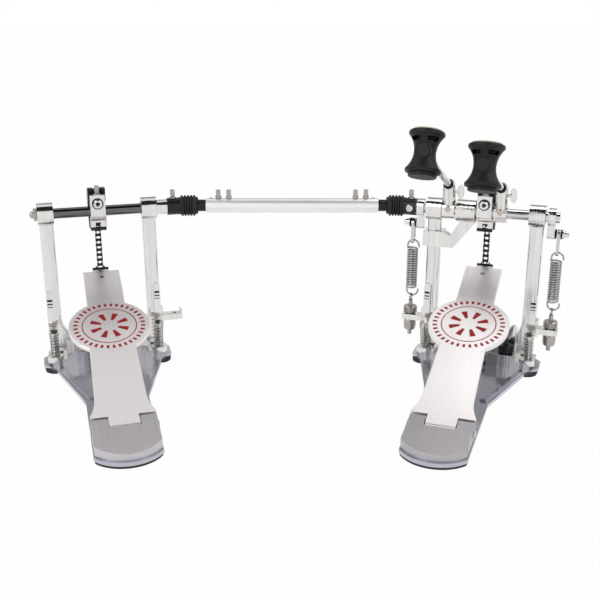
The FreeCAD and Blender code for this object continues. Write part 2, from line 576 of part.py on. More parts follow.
def chain(side):
    hanging, wrapped = chain_path(side)
    links = len(hanging) - 1
    solids, pins, half, narrow = chain_run(hanging, links % 2 == 0, True)
    solids += [link_pin(p, half) for p in pins[:-1]] + [link_pin(pins[-1], narrow)]
    strand = solids[0].multiFuse(solids[1:]).removeSplitter()
    foot = hanging[0]
    pitch = d.main_pitch if side == "main" else d.slave_pitch
    back = d.clip_gap - d.pin_ahead
    plate = Part.makeBox(d.tab_width, d.clip_thickness, d.clip_height,
                         Vector(-d.tab_width / 2, back, -d.clip_height / 2))
    clip = [plate]
    for x in (half + d.clear_gap, -half - d.clear_gap - d.clip_thickness):
        lug = Part.makeBox(d.clip_thickness, -back + d.roller_diameter, d.chain_depth,
                           Vector(x, back, -d.chain_depth / 2))
        clip.append(lug)
    bolt = Part.makeCylinder(d.roller_diameter / 2 - d.clear_gap, 2 * (half + d.clip_thickness),
                             Vector(-half - d.clip_thickness, 0, 0), Vector(1, 0, 0))
    clip.append(bolt)
    joined = clip[0].multiFuse(clip[1:])
    joined.Placement = Placement(foot, lean(pitch))
    whole = strand.fuse(joined).removeSplitter()
    node(f"{side}_chain", POSE[side], shaped("strand", whole))
    solids, pins, half, narrow = chain_run(wrapped, True, False)
    solids += [link_pin(p, half) for p in pins]
    wrap = solids[0].multiFuse(solids[1:]).removeSplitter()
    node(f"{side}_chain_wrap", POSE[side], shaped("wrap", wrap))


# Cam: a chrome clamp block on the axle, with a black half wheel that carries the chain
AXLE_BORE = "(d.axle_diameter + 2 * d.running_gap)"


def axle_bore(start, length):
    return cylinder(AXLE_BORE, length, start, 0, "d.axle_height", ALONG["X"])


def cam(side):
    wide = "d.block_width"
    collar = cylinder("d.collar_diameter", wide, f"-{wide} / 2", 0, "d.axle_height", ALONG["X"])
    block = box(wide, "d.block_front - d.block_back", "d.block_top + d.block_bottom", f"-{wide} / 2",
                "-d.block_front", "d.axle_height - d.block_bottom")
    shoe = box("d.shoe_width", "d.shoe_depth", "d.shoe_bottom - d.shoe_top", "-d.shoe_width / 2", 0,
               "d.axle_height - d.shoe_bottom")
    notch = box("d.shoe_notch", "3 * d.shoe_depth", "d.shoe_notch_height + d.overcut", "-d.shoe_notch / 2",
                "-d.shoe_depth", "d.axle_height - d.shoe_bottom - d.overcut")
    node(f"{side}_cam_block", POSE[side],
         cut(fuse(collar, block, shoe), notch, axle_bore(f"-{wide}", f"2 * {wide}")))
    start = d.sector_start + QUARTER_TURN
    sweep = "(d.sector_end - d.sector_start)"
    floor = "(d.cam_radius - d.chain_depth / 2 - d.clear_gap)"
    groove = "(d.inner_width + 4 * d.link_plate + 4 * d.clear_gap)"
    wheel = sector("d.cam_radius + d.cam_flange", "d.cam_width", sweep, "-d.cam_width / 2",
                   "d.axle_height", start)
    ring = cut(cylinder("4 * d.cam_radius", groove, f"-{groove} / 2", 0, "d.axle_height", ALONG["X"]),
               cylinder(f"2 * {floor}", groove, f"-{groove} / 2", 0, "d.axle_height", ALONG["X"]))
    core = cylinder("d.collar_diameter", "2 * d.cam_width", "-d.cam_width", 0, "d.axle_height",
                    ALONG["X"])
    node(f"{side}_cam_sector", POSE[side], cut(wheel, ring, core))


# Screws with a square key head on a round collar
def key_screw(x, y, z, reach):
    shank = cylinder("d.key_shank", f"{reach} + d.key_collar_height", x, y, f"{z} - ({reach})")
    collar = cylinder("d.key_collar", "d.key_collar_height", x, y, z)
    head = box("d.key_square", "d.key_square", "d.key_height", f"{x} - d.key_square / 2",
               f"{y} - d.key_square / 2", f"{z} + d.key_collar_height")
    return fuse(shank, collar, head)


def cam_screws():
    front = cylinder("d.socket_screw", "d.socket_height", 0, "-d.block_front - d.socket_height",
                     "d.axle_height + d.socket_rise", ALONG["Y"])
    socket = cylinder("d.socket_screw / 2", "d.socket_height / 2 + d.overcut", 0,
                      "-d.block_front - d.socket_height - d.overcut", "d.axle_height + d.socket_rise",
                      ALONG["Y"])
    top = key_screw("0", "-(d.block_front + d.block_back) / 2", "d.axle_height + d.block_top", "0")
    return [cut(front, socket), top]


# Beater hub: a clamp ring with a tower that grips the rod, closed by a wing screw
def tower_top():
    return lean(d.tower_lean).multVec(Vector(0, 0, d.tower_length))


def beater_pose(name):
    tilt = d.left_rod_lean if name == "left" else d.right_rod_lean
    grip = Vector(value(HUB_X[name]), 0, d.axle_height) + tower_top()
    turn = lean(tilt)
    return POSE["main"] * Placement(grip + turn.multVec(Vector(0, 0, d.rod_reach)), turn)


def beater_hub(name):
    x = HUB_X[name]
    ring = cylinder("d.hub_diameter", "d.hub_width", f"{x} - d.hub_width / 2", 0, "d.axle_height",
                    ALONG["X"])
    tower = cylinder("d.tower_diameter", "d.tower_length", x, 0, "d.axle_height", lean(d.tower_lean))
    top = tower_top()
    cap = dome("d.tower_diameter", x, top.y, f"d.axle_height + {top.z}", lean(d.tower_lean))
    tilt = d.left_rod_lean if name == "left" else d.right_rod_lean
    start = top - lean(tilt).multVec(Vector(0, 0, d.tower_diameter))
    hole = cylinder("d.rod_diameter + 2 * d.running_gap", "2 * d.tower_diameter", x, start.y,
                    f"d.axle_height + {start.z}", lean(tilt))
    node(f"{name}_beater_hub", POSE["main"],
         cut(fuse(ring, tower, cap), hole, axle_bore(f"{x} - d.hub_width", "2 * d.hub_width")))


def wing_screw(name):
    """Thumb screw in the side of the tower, its round-ended blade standing up and down."""
    grip = lean(d.tower_lean).multVec(Vector(0, 0, d.tower_length - d.tower_diameter / 2))
    x = f"{HUB_X[name]} + d.tower_diameter / 2"
    height = f"d.axle_height + {grip.z}"
    shank = cylinder("d.wing_shank", "d.wing_standoff + d.wing_width / 2", x, grip.y, height, ALONG["X"])
    middle = f"{x} + d.wing_standoff + d.wing_width / 2"
    back = f"{grip.y} - d.wing_thickness / 2"
    reach = "(d.wing_height / 2 - d.wing_width / 2)"
    ends = [cylinder("d.wing_width", "d.wing_thickness", middle, back, f"{height} {sign} {reach}",
                     ALONG["Y"]) for sign in ("+", "-")]
    blade = box("d.wing_width", "d.wing_thickness", f"2 * {reach}", f"{x} + d.wing_standoff", back,
                f"{height} - {reach}")
    return fuse(shank, blade, *ends)


# Beater: steel rod, waisted head with a round boss at its end, felt on the striking face
def beater(name):
    pose = beater_pose(name)
    rod = cylinder("d.rod_diameter", "d.rod_reach + d.rod_tail + d.rod_tip", 0, 0,
                   "-d.rod_reach - d.rod_tail")
    node(f"{name}_beater_rod", pose, rod)
    body = new_body("head")
    half = "d.head_length / 2"
    rim = f"{half} - d.head_rim"
    dish = "(d.head_diameter / 2 - d.head_waist / 2)"
    curve = f"(({rim}) ^ 2 + {dish} ^ 2) / 2 / {dish}"
    wide, narrow = "d.head_diameter / 2", "d.head_diameter / 2 - d.head_chamfer"
    profile = [
        ("0", f"-({half}) - d.pad_thickness"), ("d.back_pad / 2", f"-({half}) - d.pad_thickness"),
        ("d.back_pad / 2", f"-({half})"), (narrow, f"-({half})"),
        (wide, f"-({half}) + d.head_chamfer"), (wide, f"-({rim})", curve, -1), (wide, rim),
        (wide, f"{half} - d.head_chamfer"), (narrow, half), ("0", half)]
    sketch = outline(body, "XY_Plane", profile)
    turned = body.newObject("PartDesign::Revolution", "turned")
    turned.Profile = sketch
    turned.ReferenceAxis = (sketch, ["V_Axis"])
    turned.Angle = 360
    boss = cylinder("d.head_boss", "d.boss_height")
    hole = cylinder("d.rod_diameter", "d.head_diameter + d.rod_tip", 0, 0, "-d.head_diameter")
    recesses = [box("d.recess_width", "d.recess_height", half, x, "d.recess_at", "d.recess_floor")
                for x in ("d.head_web / 2", "-d.head_web / 2 - d.recess_width")]
    recesses.append(box("d.recess_width", "d.recess_height", half, "-d.recess_width / 2",
                        "-d.recess_at - d.recess_height", "d.recess_floor"))
    node(f"{name}_beater_head", pose, cut(fuse(body, boss), hole, *recesses))
    felt = cylinder("d.felt_diameter", "d.felt_thickness", 0, half, 0, ALONG["Y"])
    node(f"{name}_beater_felt", pose, felt)


# Spring lever: an arm clamped on the axle, with a bolt through its free end
def lever_span(name):
    return LEVER_IN if name == "right" else f"-{LEVER_IN} - d.lever_thickness"


def spring_x(name):
    reach = f"({LEVER_IN} + d.lever_thickness + d.spring_offset)"
    return reach if name == "right" else f"-{reach}"


def spring_lever(name):
    low = lever_span(name)
    pin_z = "d.axle_height - d.lever_arm"
    hub = cylinder("d.lever_hub", "d.lever_thickness", low, 0, "d.axle_height", ALONG["X"])
    arm = box("d.lever_thickness", "d.lever_end", "d.lever_arm", low, "-d.lever_end / 2", pin_z)
    end = cylinder("d.lever_end", "d.lever_thickness", low, 0, pin_z, ALONG["X"])
    hole = cylinder("d.pin_diameter", "3 * d.lever_thickness", f"{low} - d.lever_thickness", 0, pin_z,
                    ALONG["X"])
    bore = axle_bore(f"{low} - d.lever_thickness", "3 * d.lever_thickness")
    node(f"{name}_spring_lever", POSE["main"], cut(fuse(hub, arm, end), hole, bore))


def lever_bolt(name):
    length = "(d.lever_thickness + d.pin_end)"
    start = LEVER_IN if name == "right" else f"-{LEVER_IN} - {length}"
    nut = f"{start} + {length}" if name == "right" else f"{start} - d.bracket_plate"
    pin_z = "d.axle_height - d.lever_arm"
    shank = cylinder("d.pin_diameter", length, start, 0, pin_z, ALONG["X"])
    stop = cylinder("2 * d.pin_diameter", "d.bracket_plate", nut, 0, pin_z, ALONG["X"])
    return fuse(shank, stop)


# Wire forms: arcs that meet with one tangent, two for each half turn
def biarc(start, way, end, end_way):
    """Two arcs from start to end that leave and arrive along the given unit directions."""
    gap = end - start
    both = way + end_way
    bend = 1 - way.dot(end_way)
    if bend < 1e-9:
        step = gap.Length / 2
    else:
        step = (-gap.dot(both) + math.sqrt(gap.dot(both) ** 2 + 2 * bend * gap.dot(gap))) / 2 / bend
    middle = (start + end + (way - end_way) * step) * 0.5
    edges = []
    for first, last, lead in ((start, middle, way), (end, middle, end_way * -1)):
        chord = last - first
        along = Vector(chord).normalize()
        side = lead - along * lead.dot(along)
        angle = math.atan2(side.Length, lead.dot(along))
        top = first + chord * 0.5 + Vector(side).normalize() * (chord.Length / 2 * math.tan(angle / 2))
        ends = (first, top, last) if lead is way else (last, top, first)
        edges.append(Part.Arc(*ends).toShape())
    return edges


def helix_stations(radius, pitch, turns, bottom):
    """Points and directions at every half turn."""
    climb = pitch / (2 * math.pi * radius)
    stations = []
    for i in range(2 * turns + 1):
        angle = math.pi * i
        place = Vector(radius * math.cos(angle), radius * math.sin(angle), bottom + pitch * i / 2)
        way = Vector(-math.sin(angle), math.cos(angle), climb).normalize()
        stations.append((place, way))
    return stations


def wire_solid(stations, thickness):
    """Sweeps a six-sided wire along the stations and gives the least gap of the wire to itself."""
    edges = []
    for (place, way), (following, next_way) in zip(stations, stations[1:]):
        edges += biarc(place, way, following, next_way)
    path = Part.Wire(edges)
    start, way = stations[0]
    turn = Rotation(Vector(0, 0, 1), way)
    corners = [start + turn.multVec(Vector(math.cos(a), math.sin(a), 0) * (thickness / 2))
               for a in (math.pi / 3 * i for i in range(6))]
    section = Part.makePolygon(corners + corners[:1])
    solid = path.makePipeShell([section], True, False)
    samples = [p for edge in path.OrderedEdges for p in edge.discretize(5)[:-1]]
    steps = [(b - a).Length for a, b in zip(samples, samples[1:])]
    gap = math.inf
    for i, first in enumerate(samples):
        travelled = 0.0
        for j in range(i + 1, len(samples)):
            travelled += steps[j - 1]
            if travelled > 4 * thickness:
                gap = min(gap, (samples[j] - first).Length)
    return solid, gap - thickness


def hook(radius, edge, tip, sign):
    """Stations of an open loop from the end of a coil at +X or -X up or down to its tip."""
    def station(x, y, rise, way):
        return Vector(x, y, edge + rise * (tip - edge)), Vector(*way).normalize()
    side = radius * 0.85
    return [
        station(0.62 * radius, 0.55 * radius, 0.2, (-0.35, -0.25, sign)),
        station(side, 0, 0.5, (0.2, -0.1, sign)),
        station(0, 0, 1.0, (-1, 0, 0)),
        station(-side, 0, 0.5, (0, 0.05, -sign)),
        station(-0.35 * radius, 0, 0.28, (0.8, 0.05, -0.5 * sign)),
    ]


def spring_ends():
    """Heights of the coil's ends and of the two loop tips."""
    low_tip = d.bracket_at + d.eye_rise
    high_tip = d.axle_height - d.lever_arm - d.hanger_drop
    return low_tip + d.loop_height, high_tip - d.loop_height, low_tip, high_tip


def extension_spring(name):
    radius = d.coil_diameter / 2
    low, high, low_tip, high_tip = spring_ends()
    turns = round((high - low) / d.coil_pitch)
    coil = helix_stations(radius, (high - low) / turns, turns, low)
    top = hook(radius, high, high_tip, 1)
    bottom = [(p, w * -1) for p, w in reversed(hook(radius, low, low_tip, -1))]
    bottom = [(Vector(p.x, -p.y, p.z), Vector(w.x, -w.y, w.z)) for p, w in bottom]
    solid, gap = wire_solid(bottom + coil + top, d.wire_diameter)
    print(f"{name}_spring least gap {gap:.2f} mm")
    feature = shaped("coil", solid)
    feature.Placement = Placement(Vector(value(spring_x(name)), 0, 0), Rotation())
    node(f"{name}_spring", POSE["main"], feature)


# Hanger: a flat link from the lever's bolt down to the loop of the spring
def hanger(name):
    body = new_body("link")
    low, high, low_tip, high_tip = spring_ends()
    foot = high_tip - d.wire_diameter / 2 - 2 * d.clear_gap
    top = value("d.axle_height - d.lever_arm + d.pin_diameter / 2 + d.clear_gap")
    narrow = "(d.pin_diameter / 2 + d.slot_play)"
    wide = f"({narrow} + d.hanger_wall)"

    def oval(half, bottom, height):
        right = [(half, f"{bottom} + {half}"), (half, f"{height} - {half}", half, 1),
                 ("0", str(height), half, 1)]
        left = [(f"-{half}", f"{height} - {half}"), (f"-{half}", f"{bottom} + {half}", half, 1),
                ("0", str(bottom), half, 1)]
        return right + left

    shape = outline(body, "YZ_Plane", oval(wide, f"{foot} - d.hanger_wall", f"{top} + d.hanger_wall"))
    pad(body, shape, "d.hanger_thickness", middle=True)
    pocket(body, outline(body, "YZ_Plane", oval(narrow, foot, top)), "2 * d.hanger_thickness")
    body.Placement = Placement(Vector(value(spring_x(name)), 0, 0), Rotation())
    node(f"{name}_hanger", POSE["main"], body)


# Spring bracket: an arm fixed on the post, pierced for the eyebolt with its two nuts. The slave pedal's
# has no spring, and shows its upturned end
def spring_bracket(name, upturned=False):
    out = spring_x("right") + " + d.bracket_reach"
    plate = box("d.bracket_plate", "d.post_depth", "d.bracket_grip", POST_OUT, "-d.post_front",
                "d.bracket_at - d.bracket_grip / 4")
    arm = box(f"{out} - {POST_OUT}", "d.bracket_width", "d.bracket_height", POST_OUT,
              "-d.bracket_width / 2", "d.bracket_at")
    solids = [plate, arm]
    if upturned:
        solids.append(box("d.stop_thickness", "d.bracket_width", "d.bracket_height + d.stop_rise",
                          f"{out} - d.stop_thickness", "-d.bracket_width / 2", "d.bracket_at"))
    hole = cylinder("d.eyebolt_diameter", "3 * d.bracket_height", spring_x("right"), 0,
                    "d.bracket_at - d.bracket_height")
    solid = cut(fuse(*solids), hole)
    if name == "right":
        return solid
    mirror = doc.addObject("Part::Mirroring", "mirror")
    mirror.Source = solid
    mirror.Normal = Vector(1, 0, 0)
    return mirror


def tensioner(name):
    x = spring_x(name)
    low, high, low_tip, high_tip = spring_ends()
    eye_z = low_tip + d.wire_diameter / 2 + 2 * d.clear_gap - value("d.eye_inner / 2")
    tail = "d.bracket_at - d.cup_height - d.bolt_tail"
    stem = cylinder("d.eyebolt_diameter", f"{eye_z} - d.eye_inner / 2 - ({tail}) - d.clear_gap", x, 0, tail)
    ring = cylinder("d.eye_outer", "d.eye_thickness", f"{x} - d.eye_thickness / 2", 0, eye_z, ALONG["X"])
    hole = cylinder("d.eye_inner", "3 * d.eye_thickness", f"{x} - 1.5 * d.eye_thickness", 0, eye_z,
                    ALONG["X"])
    nut = cylinder("d.knurled_diameter", "d.knurled_height", x, 0, "d.bracket_at + d.bracket_height")
    cup = cylinder("d.cup_diameter", "d.cup_height", x, 0, "d.bracket_at - d.cup_height")
    return cut(fuse(stem, ring, nut, cup), hole)


# Spurs: knurled head, threaded shank and point, with a spring under the head
def spurs(side):
    screws, coils = [], []
    free = value("d.spur_length - d.clear_gap")
    pitch = (free - 2 * d.spur_wire) / d.spur_turns
    for sign in (-1, 1):
        shank = cylinder("d.spur_diameter", "d.spur_length + d.spur_drop", 0, 0, "-d.spur_drop")
        head = cylinder("d.spur_head", "d.spur_head_height", 0, 0, "d.spur_length")
        point = cone("d.spur_diameter / 3", "d.spur_diameter", "d.spur_point",
                     "-d.spur_drop - d.spur_point")
        screw = fuse(shank, head, point)
        screw.Placement = spur_pose(sign)
        screws.append(screw)
        stations = helix_stations(d.spur_coil / 2, pitch, int(d.spur_turns), d.spur_wire)
        solid, gap = wire_solid(stations, d.spur_wire)
        coil = shaped("spur_coil", solid)
        coil.Placement = spur_pose(sign)
        coils.append(coil)
    print(f"{side}_spur_springs least gap {gap:.2f} mm")
    node(f"{side}_spurs", POSE[side], *screws)
    node(f"{side}_spur_springs", POSE[side], *coils)


# Axles: the main one carries the cam, the driven one the second beater
SLAVE_END = f"({BARREL_END} + d.slave_axle_tip)"


def axles():
    split = f"(({ARM_LEFT} + {ARM_RIGHT}) / 2)"
    end = f"({LEVER_IN} + d.lever_thickness + d.axle_tip)"
    main = cylinder("d.axle_diameter", f"{end} - {split} - d.axle_gap / 2",
                    f"{split} + d.axle_gap / 2", 0, "d.axle_height", ALONG["X"])
    driven = cylinder("d.axle_diameter", f"{split} - d.axle_gap / 2 + {SLEEVE_OUT}", f"-{SLEEVE_OUT}", 0,
                      "d.axle_height", ALONG["X"])
    node("main_axle", POSE["main"], main)
    node("driven_axle", POSE["main"], driven)
    bar = cylinder("d.axle_diameter", f"{SLAVE_END} + {SLEEVE_OUT}", f"-{SLAVE_END}", 0, "d.axle_height",
                   ALONG["X"])
    edge = f"{BARREL_END} + d.clear_gap"
    shoulder = cylinder("d.shoulder_diameter", "d.shoulder_length", edge, 0, "d.axle_height", ALONG["X"])
    node("slave_axle", POSE["slave"], fuse(bar, shoulder))


def axle_screws():
    start = "d.axle_height + d.sleeve_diameter / 2"
    sleeve_middle = f"({SLEEVE_IN} + {SLEEVE_OUT}) / 2"
    node("main_axle_screws", POSE["main"], *cam_screws(), wing_screw("right"), lever_bolt("right"))
    node("driven_axle_screws", POSE["main"], wing_screw("left"), lever_bolt("left"),
         key_screw(f"-{sleeve_middle}", "0", start, "d.key_collar_height"))
    nut = cylinder("d.key_collar", "d.key_collar_height", f"-{SLAVE_END} - d.key_collar_height", 0,
                   "d.axle_height", ALONG["X"])
    cap = cylinder("d.key_square", "d.key_collar_height", f"-{SLAVE_END} - 2 * d.key_collar_height", 0,
                   "d.axle_height", ALONG["X"])
    node("slave_axle_screws", POSE["slave"], *cam_screws(), fuse(nut, cap),
         key_screw(sleeve_middle, "0", start, "d.key_collar_height"))


# Universal joint: two forks and a cross. Forks are drawn along +X from the joint's centre
def fork(start, hole, arms, base_length):
    """A fork whose arms reach over the centre; arms lie along Z or along Y."""
    base = cylinder("d.yoke_diameter", base_length, start, 0, 0, ALONG["X"])
    depth = "(d.prong_outer - d.prong_inner)"
    length = f"({start} + d.prong_tip + d.overcut)"
    solids, tools = [base], []
    for low in ("d.prong_inner", "-d.prong_outer"):
        if arms == "Z":
            solids.append(box(length, "d.prong_width", depth, "-d.prong_tip", "-d.prong_width / 2", low))
        else:
            solids.append(box(length, depth, "d.prong_width", "-d.prong_tip", low, "-d.prong_width / 2"))
    reach = "4 * d.prong_outer"
    if arms == "Z":
        tools.append(cylinder(hole, reach, 0, 0, "-2 * d.prong_outer"))
    else:
        tools.append(cylinder(hole, reach, 0, "-2 * d.prong_outer", 0, ALONG["Y"]))
    return cut(fuse(*solids), *tools)


def cross():
    block = box("d.cross_size", "d.cross_size", "d.cross_size", "-d.cross_size / 2", "-d.cross_size / 2",
                "-d.cross_size / 2")
    reach = "(d.prong_outer - d.clear_gap)"
    upright = cylinder("d.trunnion_diameter", f"2 * {reach}", 0, 0, f"-{reach}")
    level = cylinder("d.trunnion_diameter", f"2 * {reach}", 0, f"-{reach}", 0, ALONG["Y"])
    return fuse(block, upright, level)


def coupling(side, name):
    """Sleeve on the axle with its fork, and the cross that it carries."""
    sign = 1 if side == "main" else -1
    joint = Placement(Vector(-sign * value(JOINT_REACH), 0, d.axle_height),
                      Rotation(Vector(0, 0, 1), QUARTER_TURN - sign * QUARTER_TURN))
    start = "d.yoke_back"
    arms = fork(start, "d.trunnion_diameter + 2 * d.running_gap", "Z",
                "d.joint_offset - d.yoke_back")
    sleeve = cylinder("d.sleeve_diameter", "d.sleeve_length", "d.joint_offset", 0, 0, ALONG["X"])
    bore = cylinder(AXLE_BORE, "2 * d.sleeve_length", "d.joint_offset", 0, 0, ALONG["X"])
    hole = cylinder("d.key_shank", "d.sleeve_diameter", "d.joint_offset + d.sleeve_length / 2", 0, 0)
    body = cut(fuse(arms, sleeve), bore, hole)
    body.Placement = joint
    spider = cross()
    yaw = d.main_yaw if side == "main" else -d.slave_yaw
    spider.Placement = Placement(joint.Base, Rotation(Vector(0, 0, 1), yaw))
    node(f"{name}_coupling", POSE[side], body, spider)


# Boot: a ribbed rubber bellows from the sleeve to the linkage rod, bent round the joint between.
# Shares of a rib's length at which its crest starts, its fall starts and its valley starts
RIB_SHARES = (0.3, 0.6, 0.9)


def boot(side, name):
    sign = 1 if side == "main" else -1
    bend = math.radians(d.main_yaw if side == "main" else d.slave_yaw)
    half = d.joint_offset - d.clear_gap
    length = half + d.boot_reach
    step = (length - 2 * d.boot_cuff) / d.boot_ribs
    marks = [(0, d.boot_valley), (d.boot_cuff, d.boot_valley)]
    for i in range(int(d.boot_ribs)):
        begin = d.boot_cuff + i * step
        crest, fall, valley = (begin + share * step for share in RIB_SHARES)
        marks += [(crest, d.boot_diameter), (fall, d.boot_diameter), (valley, d.boot_valley),
                  (begin + step, d.boot_valley)]
    marks.append((length, d.boot_valley))
    radius = half / math.tan(bend / 2)

    def ring(along, diameter):
        turn = bend * min(along / (2 * half), 1)
        straight = max(along - 2 * half, 0)
        ahead = Vector(math.cos(turn), -math.sin(turn), 0)
        arc_end = Vector(radius * math.sin(turn) - half, radius * (math.cos(turn) - 1), 0)
        circle = Part.Circle(arc_end + ahead * straight, ahead, diameter / 2)
        circle.XAxis = Vector(0, 0, 1)
        return Part.Wire(circle.toShape())

    outer = Part.makeLoft([ring(s, w) for s, w in marks], True, True)
    inner = Part.makeLoft([ring(s, w - 2 * d.boot_wall) for s, w in marks], True, True)
    solid = outer.cut(inner)
    feature = shaped("bellows", solid)
    if side == "slave":
        feature.Placement = Placement(Vector(value(JOINT_REACH), 0, d.axle_height), Rotation())
    else:
        feature.Placement = Placement(Vector(-value(JOINT_REACH), 0, d.axle_height),
                                      Rotation(Vector(0, 1, 0), 2 * QUARTER_TURN))
    node(f"{name}_boot", POSE[side], feature)


# Linkage: a tube with a clamped rod in its right end and a sliding rod in its left end
def linkage():
    bore = "(d.yoke_diameter + 2 * d.running_gap)"
    length = "(d.joint_span - 2 * d.tube_gap)"
    low = "-d.joint_span + d.tube_gap"
    pipe = cylinder("d.tube_diameter", length, low, 0, 0, ALONG["X"])
    hollow = cylinder(bore, f"{length} + 2 * d.overcut", f"{low} - d.overcut", 0, 0, ALONG["X"])
    places = [f"{low} + d.key_first", f"{low} + d.key_second", "-d.tube_gap - d.key_first",
              "-d.tube_gap - d.key_second"]
    holes = [cylinder("d.key_shank", "d.tube_diameter", x, 0, 0) for x in places]
    grubs = [f"{low} + d.set_screw_at", "-d.tube_gap - d.set_screw_at"]
    holes += [cylinder("d.key_shank", "d.tube_diameter", x, 0, 0) for x in grubs]
    node("linkage_tube", LINK, cut(pipe, hollow, *holes))
    wall = "(d.tube_diameter / 2 - d.yoke_diameter / 2 - d.clear_gap)"
    screws = [key_screw(x, "0", "d.tube_diameter / 2", wall) for x in places]
    screws += [cylinder("d.key_shank", f"{wall} + d.set_screw_proud", x, 0,
                        f"d.tube_diameter / 2 - {wall}") for x in grubs]
    node("linkage_screws", LINK, *screws)
    hole = "d.trunnion_diameter + 2 * d.trunnion_play"
    rod_length = "d.tube_gap + d.rod_inside - d.yoke_back"
    right = fork("d.yoke_back", hole, "Y", rod_length)
    right.Placement = Placement(Vector(), Rotation(Vector(0, 0, 1), 2 * QUARTER_TURN))
    node("linkage_right_rod", LINK, right)
    left = fork("d.yoke_back", hole, "Y", rod_length)
    left.Placement = Placement(Vector(-d.joint_span, 0, 0), Rotation())
    node("linkage_left_rod", LINK, left)


# Bearing arm: a collar on the left post, an elbowed arm and a barrel between the beaters
def bearing_arm():
    body = new_body("elbow")
    inner = f"-{POST_IN} + d.arm_collar_wall"
    top = f"{ARM_BOTTOM} + d.arm_height"
    elbow = f"({ARM_LEFT} - d.arm_elbow)"
    neck = f"{ARM_LEFT} + d.arm_collar_wall"
    under = "d.axle_height - d.barrel_diameter / 2"
    points = [(f"-{POST_IN}", ARM_BOTTOM), (elbow, ARM_BOTTOM), (ARM_RIGHT, under),
              (ARM_RIGHT, "d.axle_height"), (neck, "d.axle_height"), (neck, under),
              (f"{elbow} - d.arm_collar_wall", f"{top} - d.arm_collar_wall"), (inner, top),
              (f"-{POST_IN}", top)]
    pad(body, outline(body, "XZ_Plane", points, "d.arm_thickness / 2"), "d.arm_thickness", back=True)
    grip = box("d.post_width + 2 * d.arm_collar_wall", "d.post_depth + 2 * d.arm_collar_wall",
               "d.arm_height", f"-{POST_OUT} - d.arm_collar_wall", "-d.post_front - d.arm_collar_wall",
               ARM_BOTTOM)
    post = box("d.post_width", "d.post_depth", "3 * d.arm_height", f"-{POST_OUT}", "-d.post_front",
               f"{ARM_BOTTOM} - d.arm_height")
    ring = barrel(ARM_LEFT, f"{ARM_RIGHT} - {ARM_LEFT}")
    bore = cylinder("d.bush_diameter", f"{ARM_RIGHT} - {ARM_LEFT} + 2 * d.overcut",
                    f"{ARM_LEFT} - d.overcut", 0, "d.axle_height", ALONG["X"])
    node("centre_bearing_arm", POSE["main"], cut(fuse(body, grip, ring), post, bore))


# Hoop clamp: the rocker that lifts against the fixed lip, and the wing screw that tips it
def hoop_clamp():
    bottom = f"({PLATE_TOP} + d.jaw_lift)"
    tongue = box("d.jaw_width", "d.jaw_reach + d.jaw_tail", "d.jaw_thickness", "-d.jaw_width / 2",
                 "-d.jaw_tail", bottom)
    arm = box(f"{CLAMP_X} + d.jaw_arm_end", "d.jaw_arm_depth", "d.jaw_thickness", 0, "-d.jaw_tail", bottom)
    pad_block = box("d.jaw_width", "d.jaw_pad_length", "d.jaw_pad", "-d.jaw_width / 2",
                    "d.jaw_reach - d.jaw_pad_length", f"{bottom} + d.jaw_thickness")
    hinge = cylinder("d.pivot_barrel", "d.jaw_width", "-d.jaw_width / 2", "d.pivot_at", PIVOT_HEIGHT,
                     ALONG["X"])
    bore = cylinder("d.pivot_pin + 2 * d.running_gap", "2 * d.jaw_width", "-d.jaw_width", "d.pivot_at",
                    PIVOT_HEIGHT, ALONG["X"])
    node("hoop_clamp_jaw", POSE["main"], cut(fuse(tongue, arm, pad_block, hinge), bore))
    tip = f"({bottom} + d.jaw_thickness + d.clear_gap)"
    roof = f"({PLATE_TOP} + d.ledge_height + d.clear_gap)"
    shank = cylinder("d.clamp_shank", f"{roof} - {tip} + d.overcut", CLAMP_X, "-d.clamp_y", tip)
    knob = cylinder("d.clamp_knob", "d.clamp_knob_height", CLAMP_X, "-d.clamp_y", roof)
    wing = box("d.wing_thickness", "d.clamp_wing_width", "d.clamp_wing_height",
               f"{CLAMP_X} - d.wing_thickness / 2", "-d.clamp_y - d.clamp_wing_width / 2",
               f"{roof} + d.clamp_knob_height")
    node("clamp_wing_screw", POSE["main"], fuse(shank, knob, wing))


for side in ("main", "slave"):
    base_plate(side)
    rubber_feet(side)
    upright_frame(side)
    bearings(side)
    heel_plate(side)
    frame_pins(side)
    footboard(side)
    chain(side)
    cam(side)
    spurs(side)
for name in ("left", "right"):
    beater_hub(name)
    beater(name)
    spring_lever(name)
    extension_spring(name)
    hanger(name)
axles()
axle_screws()
coupling("main", "right")
coupling("slave", "left")
boot("main", "right")
boot("slave", "left")
linkage()
bearing_arm()
hoop_clamp()
node("spring_brackets", POSE["main"], spring_bracket("left"), spring_bracket("right"))
node("spring_tensioners", POSE["main"], tensioner("left"), tensioner("right"))
node("slave_spring_bracket", POSE["slave"], spring_bracket("right", upturned=True))

doc.recompute()
faults = [f"{o.Label}: {o.State}" for o in doc.Objects if {"Invalid", "Error"} & set(o.State)]
faults += [f"{n.Label}: no valid shape" for n in NODES if n.Shape.isNull() or not n.Shape.isValid()]
if faults:
    raise RuntimeError("; ".join(faults))
os.makedirs("parts", exist_ok=True)
for piece in NODES:
    piece.Shape.exportStep(f"parts/{piece.Label}.step")
box_all = Part.makeCompound([n.Shape for n in NODES]).BoundBox
print(f"{len(NODES)} pieces, box {box_all}")
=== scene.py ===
import json
import math

import bmesh
import bpy
from mathutils import Euler, Matrix, Vector


